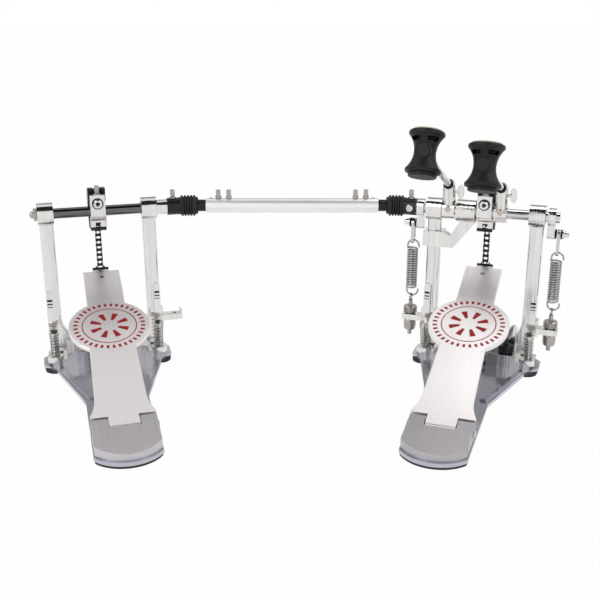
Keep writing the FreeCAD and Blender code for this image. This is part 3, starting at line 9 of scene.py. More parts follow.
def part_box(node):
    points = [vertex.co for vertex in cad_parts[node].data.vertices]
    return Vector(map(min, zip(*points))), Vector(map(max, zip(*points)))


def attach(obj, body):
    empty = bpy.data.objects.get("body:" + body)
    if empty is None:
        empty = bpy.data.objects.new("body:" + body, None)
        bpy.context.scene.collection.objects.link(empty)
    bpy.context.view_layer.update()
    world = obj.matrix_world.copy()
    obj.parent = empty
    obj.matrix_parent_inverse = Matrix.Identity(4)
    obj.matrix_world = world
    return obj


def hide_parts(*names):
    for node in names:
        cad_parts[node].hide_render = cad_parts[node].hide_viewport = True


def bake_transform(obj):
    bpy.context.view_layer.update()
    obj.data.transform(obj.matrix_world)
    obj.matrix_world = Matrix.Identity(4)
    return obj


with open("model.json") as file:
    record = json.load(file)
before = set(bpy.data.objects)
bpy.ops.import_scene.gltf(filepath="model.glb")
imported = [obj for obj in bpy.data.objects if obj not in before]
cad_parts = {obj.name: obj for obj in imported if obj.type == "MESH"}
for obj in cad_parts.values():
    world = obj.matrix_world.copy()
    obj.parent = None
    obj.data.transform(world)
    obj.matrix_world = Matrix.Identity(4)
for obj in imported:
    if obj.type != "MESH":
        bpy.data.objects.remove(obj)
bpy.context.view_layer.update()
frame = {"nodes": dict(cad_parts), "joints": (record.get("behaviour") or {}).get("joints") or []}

# Base plates: flat steel blanks with two pressed ribs, polished so that they mirror the studio.
# Each lies on its rubber feet and carries the heel plate and the upright frame.
MM = 0.001
TOUCHING = 1e-6
FLAT_TURN = math.radians(0.5)
BEVEL_TURN = math.radians(35)
SMOOTH_TURN = math.radians(40)
nodes = frame["nodes"]


def new_material(name, colour, metallic, roughness):
    """A material, its node tree and its shader, which the piece's own nodes then change."""
    made = bpy.data.materials.new(name)
    made.use_nodes = True
    shader = made.node_tree.nodes["Principled BSDF"]
    shader.inputs["Base Color"].default_value = (*colour, 1)
    shader.inputs["Metallic"].default_value = metallic
    shader.inputs["Roughness"].default_value = roughness
    return made, made.node_tree, shader


def smooth_group():
    """Shades faces smooth, but keeps edges sharp that turn by more than the limit."""
    group = bpy.data.node_groups.new("smooth_faces", "GeometryNodeTree")
    for way in ("INPUT", "OUTPUT"):
        group.interface.new_socket("Geometry", in_out=way, socket_type="NodeSocketGeometry")
    inside = group.nodes.new("NodeGroupInput")
    outside = group.nodes.new("NodeGroupOutput")
    turn = group.nodes.new("GeometryNodeInputMeshEdgeAngle")
    keen = group.nodes.new("FunctionNodeCompare")
    keen.operation = "GREATER_THAN"
    keen.inputs["B"].default_value = SMOOTH_TURN
    faces = group.nodes.new("GeometryNodeSetShadeSmooth")
    edges = group.nodes.new("GeometryNodeSetShadeSmooth")
    edges.domain = "EDGE"
    edges.inputs["Shade Smooth"].default_value = False
    join = group.links.new
    join(inside.outputs["Geometry"], faces.inputs["Geometry"])
    join(faces.outputs["Geometry"], edges.inputs["Geometry"])
    join(turn.outputs["Unsigned Angle"], keen.inputs["A"])
    join(keen.outputs["Result"], edges.inputs["Selection"])
    join(edges.outputs["Geometry"], outside.inputs["Geometry"])
    return group


SMOOTH_FACES = smooth_group()


def dress(made, width, *names):
    """Gives CAD pieces their material and rounds their sharp edges a little, as polishing does."""
    for name in names:
        mesh = nodes[name].data
        mesh.materials.clear()
        mesh.materials.append(made)
        stack = nodes[name].modifiers
        weld = stack.new("weld", "WELD")
        weld.merge_threshold = TOUCHING
        flat = stack.new("flat", "DECIMATE")
        flat.decimate_type = "DISSOLVE"
        flat.angle_limit = FLAT_TURN
        if width:
            edge = stack.new("edge", "BEVEL")
            edge.width = width
            edge.segments = 2
            edge.limit_method = "ANGLE"
            edge.angle_limit = BEVEL_TURN
        smooth = stack.new("smooth", "NODES")
        smooth.node_group = SMOOTH_FACES
        even = stack.new("even", "WEIGHTED_NORMAL")
        even.keep_sharp = True


def marks_group():
    """Faint wipe marks: a slow noise that moves roughness between two values."""
    group = bpy.data.node_groups.new("wipe_marks", "ShaderNodeTree")
    for name, start in (("Size", 60.0), ("Low", 0.08), ("High", 0.16)):
        socket = group.interface.new_socket(name, in_out="INPUT", socket_type="NodeSocketFloat")
        socket.default_value = start
    for name in ("Roughness", "Height"):
        group.interface.new_socket(name, in_out="OUTPUT", socket_type="NodeSocketFloat")
    tree = group.nodes
    inside = tree.new("NodeGroupInput")
    outside = tree.new("NodeGroupOutput")
    place = tree.new("ShaderNodeTexCoord")
    noise = tree.new("ShaderNodeTexNoise")
    noise.inputs["Detail"].default_value = 5
    ramp = tree.new("ShaderNodeMapRange")
    ramp.inputs["From Min"].default_value = 0.35
    ramp.inputs["From Max"].default_value = 0.68
    join = group.links.new
    join(place.outputs["Object"], noise.inputs["Vector"])
    join(inside.outputs["Size"], noise.inputs["Scale"])
    join(noise.outputs["Fac"], ramp.inputs["Value"])
    join(inside.outputs["Low"], ramp.inputs["To Min"])
    join(inside.outputs["High"], ramp.inputs["To Max"])
    join(ramp.outputs["Result"], outside.inputs["Roughness"])
    join(noise.outputs["Fac"], outside.inputs["Height"])
    return group


WIPE_MARKS = marks_group()
BUMP_DISTANCE = 0.2 * MM


def add_marks(tree, shader, size, low, high, bump=0.0):
    """Moves a material's roughness between two values, and roughens its skin where asked."""
    marks = tree.nodes.new("ShaderNodeGroup")
    marks.node_tree = WIPE_MARKS
    marks.inputs["Size"].default_value = size
    marks.inputs["Low"].default_value = low
    marks.inputs["High"].default_value = high
    tree.links.new(marks.outputs["Roughness"], shader.inputs["Roughness"])
    if bump:
        relief = tree.nodes.new("ShaderNodeBump")
        relief.inputs["Strength"].default_value = bump
        relief.inputs["Distance"].default_value = BUMP_DISTANCE
        tree.links.new(marks.outputs["Height"], relief.inputs["Height"])
        tree.links.new(relief.outputs["Normal"], shader.inputs["Normal"])


plate_steel, tree, shader = new_material("polished_plate_steel", (0.50, 0.51, 0.575), 0.75, 0.2)
add_marks(tree, shader, 45, 0.07, 0.2)
dress(plate_steel, 0.9 * MM, "main_base_plate", "slave_base_plate")

# Rubber feet: black moulded pads glued under the heel and the two lobes of each plate.
# They keep the pedal from creeping on the floor, so their skin is dull and a little rough.
rubber, tree, shader = new_material("black_rubber", (0.018, 0.018, 0.019), 0.0, 0.7)
add_marks(tree, shader, 900, 0.55, 0.8, 0.25)
dress(rubber, 0.4 * MM, "main_rubber_feet", "slave_rubber_feet")

# Upright frames, bearing arm, brackets, levers, hubs and cam blocks: castings, polished and chromed.
# The polish leaves them a little wavy up and down, so that they mirror the studio in streaks; their base
# colour also carries painted reflection streaks of light and dark.
POLISH_AND_REFLECTION_LINE = Vector((5, 5, 120)) * MM


def brush_group():
    """Drawn-out streaks of scratches and of painted reflection: gives a colour between two tints, a
    roughness and a height.
    """
    group = bpy.data.node_groups.new("brush_and_sheen_lines", "ShaderNodeTree")
    add = group.interface.new_socket
    add("Vector", in_out="INPUT", socket_type="NodeSocketVector")
    add("Dark", in_out="INPUT", socket_type="NodeSocketColor")
    add("Light", in_out="INPUT", socket_type="NodeSocketColor")
    add("Low", in_out="INPUT", socket_type="NodeSocketFloat")
    add("High", in_out="INPUT", socket_type="NodeSocketFloat")
    add("Color", in_out="OUTPUT", socket_type="NodeSocketColor")
    add("Roughness", in_out="OUTPUT", socket_type="NodeSocketFloat")
    add("Height", in_out="OUTPUT", socket_type="NodeSocketFloat")
    inside = group.nodes.new("NodeGroupInput")
    outside = group.nodes.new("NodeGroupOutput")
    noise = group.nodes.new("ShaderNodeTexNoise")
    noise.inputs["Scale"].default_value = 1.0
    noise.inputs["Detail"].default_value = 6
    noise.inputs["Roughness"].default_value = 0.65
    tint = group.nodes.new("ShaderNodeMix")
    tint.data_type = "RGBA"
    gloss = group.nodes.new("ShaderNodeMapRange")
    gloss.inputs["From Min"].default_value = 0.3
    gloss.inputs["From Max"].default_value = 0.7
    join = group.links.new
    join(inside.outputs["Vector"], noise.inputs["Vector"])
    join(noise.outputs["Fac"], tint.inputs["Factor"])
    join(inside.outputs["Dark"], tint.inputs["A"])
    join(inside.outputs["Light"], tint.inputs["B"])
    join(noise.outputs["Fac"], gloss.inputs["Value"])
    join(inside.outputs["Low"], gloss.inputs["To Min"])
    join(inside.outputs["High"], gloss.inputs["To Max"])
    join(tint.outputs["Result"], outside.inputs["Color"])
    join(gloss.outputs["Result"], outside.inputs["Roughness"])
    join(noise.outputs["Fac"], outside.inputs["Height"])
    return group


BRUSH_AND_SHEEN_LINES = brush_group()


def brushed_and_sheen_metal(name, turn, line, dark, light, low, high, deep=0.012):
    """Metal with streaks drawn out along a line, between two tints and two roughnesses: scratches on
    brushed pieces, painted reflection on the chrome.
    """
    made, tree, shader = new_material(name, light, 1.0, low)
    place = tree.nodes.new("ShaderNodeTexCoord")
    along = tree.nodes.new("ShaderNodeMapping")
    along.vector_type = "TEXTURE"
    along.inputs["Rotation"].default_value = turn
    along.inputs["Scale"].default_value = line
    lines = tree.nodes.new("ShaderNodeGroup")
    lines.node_tree = BRUSH_AND_SHEEN_LINES
    lines.inputs["Dark"].default_value = (*dark, 1)
    lines.inputs["Light"].default_value = (*light, 1)
    lines.inputs["Low"].default_value = low
    lines.inputs["High"].default_value = high
    relief = tree.nodes.new("ShaderNodeBump")
    relief.inputs["Distance"].default_value = deep * MM
    join = tree.links.new
    join(place.outputs["Object"], along.inputs["Vector"])
    join(along.outputs["Vector"], lines.inputs["Vector"])
    join(lines.outputs["Color"], shader.inputs["Base Color"])
    join(lines.outputs["Roughness"], shader.inputs["Roughness"])
    join(lines.outputs["Height"], relief.inputs["Height"])
    join(relief.outputs["Normal"], shader.inputs["Normal"])
    return made


# Chrome tints: the dark and light values paint streaks of the studio's reflection into the base colour.
chrome = brushed_and_sheen_metal("bright_chrome", (0, 0, 0), POLISH_AND_REFLECTION_LINE, (0.56, 0.55, 0.535), (0.91, 0.90, 0.885),
                       0.06, 0.16, 0.25)
dress(chrome, 0.5 * MM, "main_upright_frame", "slave_upright_frame", "centre_bearing_arm",
      "spring_brackets", "slave_spring_bracket", "left_spring_lever", "right_spring_lever",
      "left_beater_hub", "right_beater_hub", "main_cam_block", "slave_cam_block")

# Bearing bushes: sintered bronze rings pressed into the barrels of the frames.
# The axles turn in them, and only their rims show.
bronze, tree, shader = new_material("sintered_bronze", (0.55, 0.40, 0.22), 1.0, 0.35)
add_marks(tree, shader, 400, 0.3, 0.45, 0.1)
dress(bronze, 0.2 * MM, "main_bearings", "slave_bearings")

# Axles and beater rods: ground steel bars with a mirror finish.
# The slave pedal's axle has a near-black base colour, a painted dark reflection, so that it looks nearly
# black.
ground_steel, tree, shader = new_material("ground_steel", (0.60, 0.61, 0.63), 1.0, 0.05)
add_marks(tree, shader, 120, 0.03, 0.07)
dress(ground_steel, 0.3 * MM, "main_axle", "driven_axle", "left_beater_rod", "right_beater_rod")
# Near-black base colour on the slave axle: painted reflection of the dark studio, not a real finish.
dark_reflection_steel, tree, shader = new_material("dark_reflection_steel", (0.14, 0.14, 0.15), 1.0, 0.1)
add_marks(tree, shader, 120, 0.07, 0.14)
dress(dark_reflection_steel, 0.3 * MM, "slave_axle")

# Pins, hangers, clamp jaw and the linkage's screws: small steel pieces, turned or bent to shape.
# All are nickel plated; the screws are duller, with rounder edges.
nickel, tree, shader = new_material("nickel_plate", (0.62, 0.60, 0.57), 1.0, 0.2)
add_marks(tree, shader, 120, 0.14, 0.28)
dress(nickel, 0.3 * MM, "main_frame_pins", "slave_frame_pins", "left_hanger", "right_hanger",
      "hoop_clamp_jaw")
dull_nickel, tree, shader = new_material("dull_nickel", (0.42, 0.395, 0.375), 1.0, 0.32)
add_marks(tree, shader, 160, 0.26, 0.4)
dress(dull_nickel, 0.5 * MM, "linkage_screws")

# Cam sectors, chains, couplings and linkage rods: blackened steel with an oily sheen.
# The chains' links are too small for rounded edges.
black_steel, tree, shader = new_material("blackened_steel", (0.016, 0.016, 0.017), 0.5, 0.3)
add_marks(tree, shader, 200, 0.25, 0.42)
dress(black_steel, 0.3 * MM, "main_cam_sector", "slave_cam_sector", "left_coupling", "right_coupling",
      "linkage_left_rod", "linkage_right_rod")
dress(black_steel, 0, "main_chain", "slave_chain", "main_chain_wrap", "slave_chain_wrap")

# Screws on the axles: the socket screw of each cam, the hubs' thumb screws, the levers' bolts and a collar
# on the slave pedal's axle. Turned steel with pressed wings, chromed.
joints = {joint["name"]: joint for joint in frame["joints"]}
AXLE_HEIGHT = joints["main_shaft_turn"]["pos_m"][2] / MM
UP = Matrix()
FRONT = Matrix.Rotation(math.radians(90), 4, "X")
RIGHT = Matrix.Rotation(math.radians(90), 4, "Y")
LEFT = Matrix.Rotation(math.radians(-90), 4, "Y")
CAM_SCREW = (0, -16, AXLE_HEIGHT + 12, FRONT)
HUB_X = {"left": -42.4, "right": 17.5}
THUMB_Y = -7
THUMB_HEIGHT = AXLE_HEIGHT + 23.5
LEVER_END = {"left": (-71, 0, AXLE_HEIGHT - 19, LEFT), "right": (71, 0, AXLE_HEIGHT - 19, RIGHT)}
COLLAR = ((6.1, 0.4), (8.8, 0.4), (8.8, 12.2), (6.1, 12.2))
COLLAR_X = 68.2
KNURL_GAP = 0.2 * MM
KNURL_DEEP = 0.3 * MM


def finish_piece(bm, name, made, smooth_angle=35):
    """Makes a closed mesh with clean normals into an object at the origin."""
    bmesh.ops.remove_doubles(bm, verts=bm.verts, dist=TOUCHING)
    bmesh.ops.recalc_face_normals(bm, faces=bm.faces)
    mesh = bpy.data.meshes.new(name)
    bm.to_mesh(mesh)
    bm.free()
    mesh.materials.append(made)
    mesh.shade_smooth()
    mesh.set_sharp_from_angle(angle=math.radians(smooth_angle))
    piece = bpy.data.objects.new(name, mesh)
    bpy.context.scene.collection.objects.link(piece)
    return piece


def pedal_frame(side):
    """Turns a place in one pedal's own frame, floor point under its axle, into the shared frame."""
    axle = joints[f"{side}_shaft_turn"]
    across = -Vector(axle["axis"])
    turn = Matrix.Rotation(math.atan2(across.y, across.x), 4, "Z")
    return Matrix.Translation(Vector(axle["pos_m"]) * Vector((1, 1, 0))) @ turn


def spot(side, x, y, z, turn=UP):
    """A place on one pedal in millimetres, with its own Z turned to face a way."""
    return pedal_frame(side) @ Matrix.Translation(Vector((x, y, z)) * MM) @ turn


def turned(bm, profile, place, steps=48, knurl=False):
    """Spins a profile of radius and height in millimetres; knurling sinks each face of its widest band."""
    known = set(bm.verts)
    ring = [bm.verts.new(Vector((radius, 0, height)) * MM) for radius, height in profile]
    edges = [bm.edges.new(pair) for pair in zip(ring, ring[1:])]
    bmesh.ops.spin(bm, geom=ring + edges, cent=(0, 0, 0), axis=(0, 0, 1), angle=2 * math.pi,
                   steps=steps, use_merge=True)
    if knurl:
        wide = max(radius for radius, height in profile) * MM
        faces = {face for vert in set(bm.verts) - known for face in vert.link_faces}
        bmesh.ops.recalc_face_normals(bm, faces=list(faces))
        band = [face for face in faces if all(vert.co.xy.length > wide - TOUCHING for vert in face.verts)]
        bmesh.ops.inset_individual(bm, faces=band, thickness=KNURL_GAP, depth=-KNURL_DEEP)
    bmesh.ops.transform(bm, matrix=place, verts=[vert for vert in bm.verts if vert not in known])


def oval_blade(bm, place, half_width, half_height, thickness):
    """An oval plate with rounded rims, upright in the plane of its place's X and Z."""
    lay = place @ FRONT @ Matrix.Diagonal((half_width * MM, half_height * MM, thickness * MM, 1))
    drum = bmesh.ops.create_cone(bm, cap_ends=True, segments=40, radius1=1, radius2=1, depth=1, matrix=lay)
    caps = {face for vert in drum["verts"] for face in vert.link_faces if len(face.verts) > 4}
    rims = {edge for face in caps for edge in face.edges}
    bmesh.ops.bevel(bm, geom=list(rims), offset=0.35 * thickness * MM, segments=3, profile=0.5,
                    affect="EDGES", material=-1)


def socket_screw(bm, place):
    """A round head with a hollow for the key, on a thin flange."""
    turned(bm, ((0, 0), (6.3, 0), (6.3, 0.7), (5, 0.9), (5, 3.4), (4.4, 4), (2.7, 4), (2.7, 1.4), (0, 1)),
           place)


def thumb_screw(bm, hub_x):
    """A short stem out of the hub's side, with an oval wing to turn it by."""
    stem = spot("main", hub_x + 7.5, THUMB_Y, THUMB_HEIGHT, RIGHT)
    turned(bm, ((0, 0), (2.5, 0), (2.5, 4), (0, 4)), stem)
    oval_blade(bm, spot("main", hub_x + 13.5, THUMB_Y, THUMB_HEIGHT), 4, 8.5, 2.4)


def lever_bolt(bm, place):
    """A bolt through the lever's end, waisted where the hanger swings on it, with a nut outside."""
    turned(bm, ((0, 0), (2.5, 0), (2.5, 10.4), (2, 10.8), (2, 14.9), (2.5, 15.3), (2.5, 17.2), (5, 17.2),
                (5, 18.6), (3.8, 19.4), (3.8, 22), (2.5, 22), (2.5, 24), (2, 24.5), (0, 24.5)), place)


bm = bmesh.new()
socket_screw(bm, spot("main", *CAM_SCREW))
thumb_screw(bm, HUB_X["right"])
lever_bolt(bm, spot("main", *LEVER_END["right"]))
screws = finish_piece(bm, "main_axle_hardware", chrome)
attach(screws, "main_shaft")
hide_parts("main_axle_screws")
bm = bmesh.new()
thumb_screw(bm, HUB_X["left"])
lever_bolt(bm, spot("main", *LEVER_END["left"]))
screws = finish_piece(bm, "driven_axle_hardware", chrome)
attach(screws, "driven_shaft")
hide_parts("driven_axle_screws")
bm = bmesh.new()
socket_screw(bm, spot("slave", *CAM_SCREW))
turned(bm, COLLAR, spot("slave", COLLAR_X, 0, AXLE_HEIGHT, RIGHT))
screws = finish_piece(bm, "slave_axle_hardware", chrome)
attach(screws, "slave_shaft")
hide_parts("slave_axle_screws")

# Key screws of cams and sleeves and the nut on the slave pedal's axle, dull nickel.
# Each cam also has a black ring round its socket screw, a black disc of painted shade in the screw's hollow
# and a black clip under its shoe.
SIDES = ("main", "slave")
SLEEVE_X = 88
KEYS = (("main_shaft", "main", 0, -10.7, 22), ("driven_shaft", "main", -SLEEVE_X, 0, 10),
        ("slave_shaft", "slave", 0, -10.7, 22), ("slave_shaft", "slave", SLEEVE_X, 0, 10))
KEY_FLANGE = ((0, 0), (4.1, 0), (4.1, 0.8), (2.4, 1.8), (2.4, 3), (0, 3))
KEY_HEAD = Vector((5.2, 5.2, 7)) * MM
KEY_HEAD_RISE = 6.5 * MM
NUT_X = -68
NUT = ((6.1, 0.3), (7, 0.3), (7.6, 0.9), (7.6, 3.6), (6.4, 4.5), (0, 4.5))
STUD = ((3.9, 4.4), (3.9, 6.6), (3.2, 7.6), (1.8, 8.2), (0, 8.4))
SCREW_RING = ((5.1, 0.3), (6.5, 0.3), (6.5, 1.1), (5.1, 1.1))
SOCKET_SHADE_DISC = ((2.6, 1.2), (2.6, 1.7), (0, 1.7))
CLIP = Vector((18, 6, 3.6)) * MM
CLIP_DROP = 21.4


def eased_block(bm, lay, size, ease):
    """A block of a size with eased edges, centred on its place."""
    block = bmesh.ops.create_cube(bm, size=1, matrix=lay @ Matrix.Diagonal((*size, 1)))
    edges = {edge for vert in block["verts"] for edge in vert.link_edges}
    bmesh.ops.bevel(bm, geom=list(edges), offset=ease, segments=2, profile=0.5, affect="EDGES", material=-1)


for number, (body, side, x, y, rise) in enumerate(KEYS, 1):
    foot = spot(side, x, y, AXLE_HEIGHT + rise)
    bm = bmesh.new()
    turned(bm, KEY_FLANGE, foot)
    eased_block(bm, foot @ Matrix.Translation((0, 0, KEY_HEAD_RISE)), KEY_HEAD, 0.7 * MM)
    key = finish_piece(bm, f"key_screw_{number}", dull_nickel)
    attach(key, body)
bm = bmesh.new()
end = spot("slave", NUT_X, 0, AXLE_HEIGHT, LEFT)
turned(bm, NUT, end, 6)
turned(bm, STUD, end, 24)
nut = finish_piece(bm, "slave_axle_nut", dull_nickel)
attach(nut, "slave_shaft")
for side in SIDES:
    bm = bmesh.new()
    turned(bm, SCREW_RING, spot(side, *CAM_SCREW))
    # Black disc at the bottom of the socket screw's hollow: painted shade.
    turned(bm, SOCKET_SHADE_DISC, spot(side, *CAM_SCREW), 6)
    eased_block(bm, spot(side, 0, 1.4, AXLE_HEIGHT - CLIP_DROP), CLIP, 0.6 * MM)
    trim = finish_piece(bm, f"{side}_cam_black_trim_and_shade", black_steel)
    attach(trim, f"{side}_shaft")

# Small trim on the axles: coppered button screws in the hubs' clamps, black knurled washers on both sides
# of the spring hangers and a plated star screw in the right sleeve.
HANDS = ("left", "right")
HUB_BODY = {"left": "driven_shaft", "right": "main_shaft"}
BUTTON = ((3.3, -0.8), (3.3, 0.4), (2.6, 1), (1.5, 1), (1.5, 0.3), (0, 0.3))
STAR = ((4.2, -1), (4.2, 0.4), (3.7, 0.8), (2.3, 0.8), (2.1, 0.2), (0, 0.2))
WASHERS = ((8.7, 10.6), (15.1, 17))
copper, tree, shader = new_material("coppered_screw", (0.58, 0.48, 0.42), 1.0, 0.22)
add_marks(tree, shader, 300, 0.16, 0.3)
for hand in HANDS:
    body = HUB_BODY[hand]
    bm = bmesh.new()
    turned(bm, BUTTON, spot("main", HUB_X[hand], -11, AXLE_HEIGHT + 3, FRONT), 32)
    button = finish_piece(bm, f"{hand}_hub_button_screw", copper)
    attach(button, body)
    bm = bmesh.new()
    for near, far in WASHERS:
        turned(bm, ((2.5, near), (5, near), (5.6, near + 0.5), (5.6, far - 0.5), (5, far), (2.5, far)),
               spot("main", *LEVER_END[hand]), 32, True)
    washers = finish_piece(bm, f"{hand}_lever_washers", black_steel)
    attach(washers, body)
bm = bmesh.new()
turned(bm, STAR, spot("main", -SLEEVE_X, -10, AXLE_HEIGHT, FRONT), 32)
star = finish_piece(bm, "sleeve_star_screw", nickel)
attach(star, "driven_shaft")

# Rod bushes: black rings in the mouths of the hubs' towers, where the beater rods come out.
# Each is turned about its own rod's line and pressed into the tower.
TOWER_LENGTH = 32
TOWER_LEAN = math.radians(16.6)
BUSH = ((4.25, 3.6), (5.5, 4.4), (5.9, 5.4), (5.7, 6.6), (4.9, 7.4), (4.25, 7.2), (4.25, 3.6))
for hand in HANDS:
    body = HUB_BODY[hand]
    rod = pedal_frame("main").to_3x3().inverted() @ Vector(joints[f"{hand}_beater_height"]["axis"])
    lean = Vector((0, 0, 1)).rotation_difference(rod).to_matrix().to_4x4()
    mouth = spot("main", HUB_X[hand], -TOWER_LENGTH * math.sin(TOWER_LEAN),
                 AXLE_HEIGHT + TOWER_LENGTH * math.cos(TOWER_LEAN), lean)
    bm = bmesh.new()
    turned(bm, BUSH, mouth)
    bush = finish_piece(bm, f"{hand}_rod_bush", black_steel)
    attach(bush, body)

# Footboards and heel plates: aluminium castings, brushed along their length after casting.
# Scratches are a noise drawn out along the board, in its own frame. The main heel plate's tints are a fifth
# darker: painted shade against the bright card's sheen.
BOARD_PITCH = {"main": math.radians(20.2), "slave": math.radians(18.5)}
HEEL_SLOPE = math.radians(10.4)
# The main heel's tints are the slave's times 0.8, painted shade that offsets the bright card's sheen.
HEEL_TONES_WITH_PAINTED_SHADE = {"main": ((0.376, 0.36, 0.38), (0.576, 0.552, 0.576)),
              "slave": ((0.47, 0.45, 0.475), (0.72, 0.69, 0.72))}
BOARD_TONES = ((0.72, 0.685, 0.685), (1.0, 0.96, 0.955))
BRUSH_LINE = Vector((1.1, 90, 1.1)) * MM
BRUSH_GLOSS = (0.34, 0.46)
for side in SIDES:
    yaw = pedal_frame(side).to_euler().z
    board = brushed_and_sheen_metal(f"{side}_brushed_board", (BOARD_PITCH[side], 0, yaw), BRUSH_LINE,
                          *BOARD_TONES, *BRUSH_GLOSS)
    dress(board, 0.4 * MM, f"{side}_footboard")
    heel = brushed_and_sheen_metal(f"{side}_brushed_heel", (HEEL_SLOPE, 0, yaw), BRUSH_LINE,
                         *HEEL_TONES_WITH_PAINTED_SHADE[side], *BRUSH_GLOSS)
    dress(heel, 0.5 * MM, f"{side}_heel_plate")

# Linkage tube: drawn aluminium with a satin skin, brushed along its length.
# It is anodised clear, so that it mirrors less than bare metal.
tube_skin = brushed_and_sheen_metal("satin_tube", (0, 0, math.radians(90)), BRUSH_LINE, (0.90, 0.90, 0.89),
                          (0.98, 0.98, 0.97), 0.26, 0.38)
tube_skin.node_tree.nodes["Principled BSDF"].inputs["Metallic"].default_value = 0.6
dress(tube_skin, 0.4 * MM, "linkage_tube")

# Beater heads: waisted heads of moulded black plastic, each with a round boss over the rod's end and
# two pockets under the striking rim that leave a web between them.
HEAD_ARC = 25.375
HEAD_WAIST = 11
HEAD_BACK = [(0, -25), (13.6, -25), (14.4, -24.2), (14.4, -21), (16.4, -21), (17.5, -20.5), (18, -19.4)]
HEAD_STEPS = (-17.5, -15.5, -13, -10, -7, -3.5, 0, 3.5, 7, 9.9, 11.9, 13.9, 15.5, 17.5)
HEAD_FRONT = [(18, 19.4), (17.5, 20.5), (16.4, 21), (0, 21)]
BOSS = ((0, 0), (8.5, 0), (8.5, 12.2), (7.9, 12.8), (7.2, 12.8), (6.9, 12.5), (6.6, 12.8), (0.7, 12.8),
        (0.5, 12.5), (0, 12.5))
POCKET_LOW = 9.9 * MM
POCKET_HIGH = 13.9 * MM
POCKET_DEEP = 7 * MM
POCKET_START = 15
POCKET_END = 66
FELT_RISE = 21.8 * MM
VERT = bmesh.types.BMVert
EDGE = bmesh.types.BMEdge
head_plastic, tree, shader = new_material("moulded_black_plastic", (0.010, 0.009, 0.0095), 0.0, 0.5)
shader.inputs["Specular IOR Level"].default_value = 0.3
add_marks(tree, shader, 1500, 0.42, 0.58, 0.1)


def only(geom, *kinds):
    """The elements of a mesh that are of the kinds asked for."""
    return [item for item in geom if isinstance(item, kinds)]


def head_frame(hand):
    """The head's own frame at its centre: X along the rod, Y along the axle, Z towards the drum."""
    rod = Vector(joints[f"{hand}_beater_height"]["axis"])
    across = pedal_frame("main").to_3x3() @ Vector((1, 0, 0))
    strike = rod.cross(across)
    turn = Matrix((rod, across, strike)).transposed().to_4x4()
    low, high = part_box(f"{hand}_beater_felt")
    return Matrix.Translation((low + high) / 2 - strike * FELT_RISE) @ turn


waist = [(HEAD_WAIST + HEAD_ARC - math.sqrt(HEAD_ARC ** 2 - height ** 2), height) for height in HEAD_STEPS]
for hand in HANDS:
    bm = bmesh.new()
    turned(bm, HEAD_BACK + waist + HEAD_FRONT, Matrix(), 72)
    for half in (-1, 1):
        pocket = []
        for face in bm.faces:
            middle = face.calc_center_median()
            bearing = half * math.degrees(math.atan2(middle.y, middle.x))
            if POCKET_LOW < middle.z < POCKET_HIGH and POCKET_START < bearing < POCKET_END:
                pocket.append(face)
        sunk = bmesh.ops.extrude_face_region(bm, geom=pocket)
        bmesh.ops.translate(bm, verts=only(sunk["geom"], VERT), vec=(-POCKET_DEEP, 0, 0))
        bmesh.ops.delete(bm, geom=pocket, context="FACES")
    turned(bm, BOSS, RIGHT)
    bm.transform(head_frame(hand))
    head = finish_piece(bm, f"{hand}_head", head_plastic)
    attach(head, f"{hand}_beater")
    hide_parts(f"{hand}_beater_head")

# Beater felts: thin cream discs of pressed felt with a soft rim, glued on the striking faces.
# Each lies square to the blow, in line with its head.
FELT_RADIUS = 15 * MM
FELT_THICK = 1.6 * MM
FELT_SOFT = 0.6 * MM
felt_cloth, tree, shader = new_material("pressed_felt", (0.72, 0.67, 0.55), 0.0, 0.95)
add_marks(tree, shader, 2600, 0.85, 1.0, 0.6)
shader.inputs["Sheen Weight"].default_value = 0.4
for hand in HANDS:
    bm = bmesh.new()
    bmesh.ops.create_cone(bm, cap_ends=True, segments=64, radius1=FELT_RADIUS, radius2=FELT_RADIUS,
                          depth=FELT_THICK)
    rims = [edge for edge in bm.edges if abs(edge.verts[0].co.z - edge.verts[1].co.z) < TOUCHING]
    bmesh.ops.bevel(bm, geom=rims, offset=FELT_SOFT, segments=3, profile=0.5, affect="EDGES", material=-1)
    bm.transform(head_frame(hand) @ Matrix.Translation((0, 0, FELT_RISE)))
    felt = finish_piece(bm, f"{hand}_felt_disc", felt_cloth)
    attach(felt, f"{hand}_beater")
    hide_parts(f"{hand}_beater_felt")

# Return springs: bright wire wound close, with a loop over the centre at each end.
# The lower loop hooks into the eyebolt and the upper one over the hanger, which draws the coil out.
COIL_RADIUS = 5.75 * MM
COIL_WIRE = 2.2 * MM
COIL_TURNS = 17
COIL_PITCH = 2.9 * MM
LOOP_RISE = 10.6 * MM
LOOP_RADIUS = 6.8 * MM
LOOP_SWEEP = math.radians(195)
BEND_RADIUS = 1.6 * MM
spring_wire, tree, shader = new_material("bright_spring_wire", (0.43, 0.42, 0.405), 1.0, 0.22)
add_marks(tree, shader, 150, 0.18, 0.3)


def half_spring(bm, turns, pitch, radius, wire, sides=10, steps_per_turn=28):
    """Winds up from the middle of a coil and gives its last ring and the angle where it stops."""
    lay = Matrix.Translation((radius, 0, 0)) @ FRONT
    bmesh.ops.create_circle(bm, radius=wire / 2, segments=sides, matrix=lay)
    steps = int(turns * steps_per_turn)
    result = bmesh.ops.spin(bm, geom=bm.verts[:] + bm.edges[:], cent=(0, 0, 0), axis=(0, 0, 1),
                            dvec=(0, 0, turns * pitch / steps), angle=2 * math.pi * turns, steps=steps,
                            use_merge=False)
    return only(result["geom_last"], VERT, EDGE), 2 * math.pi * turns


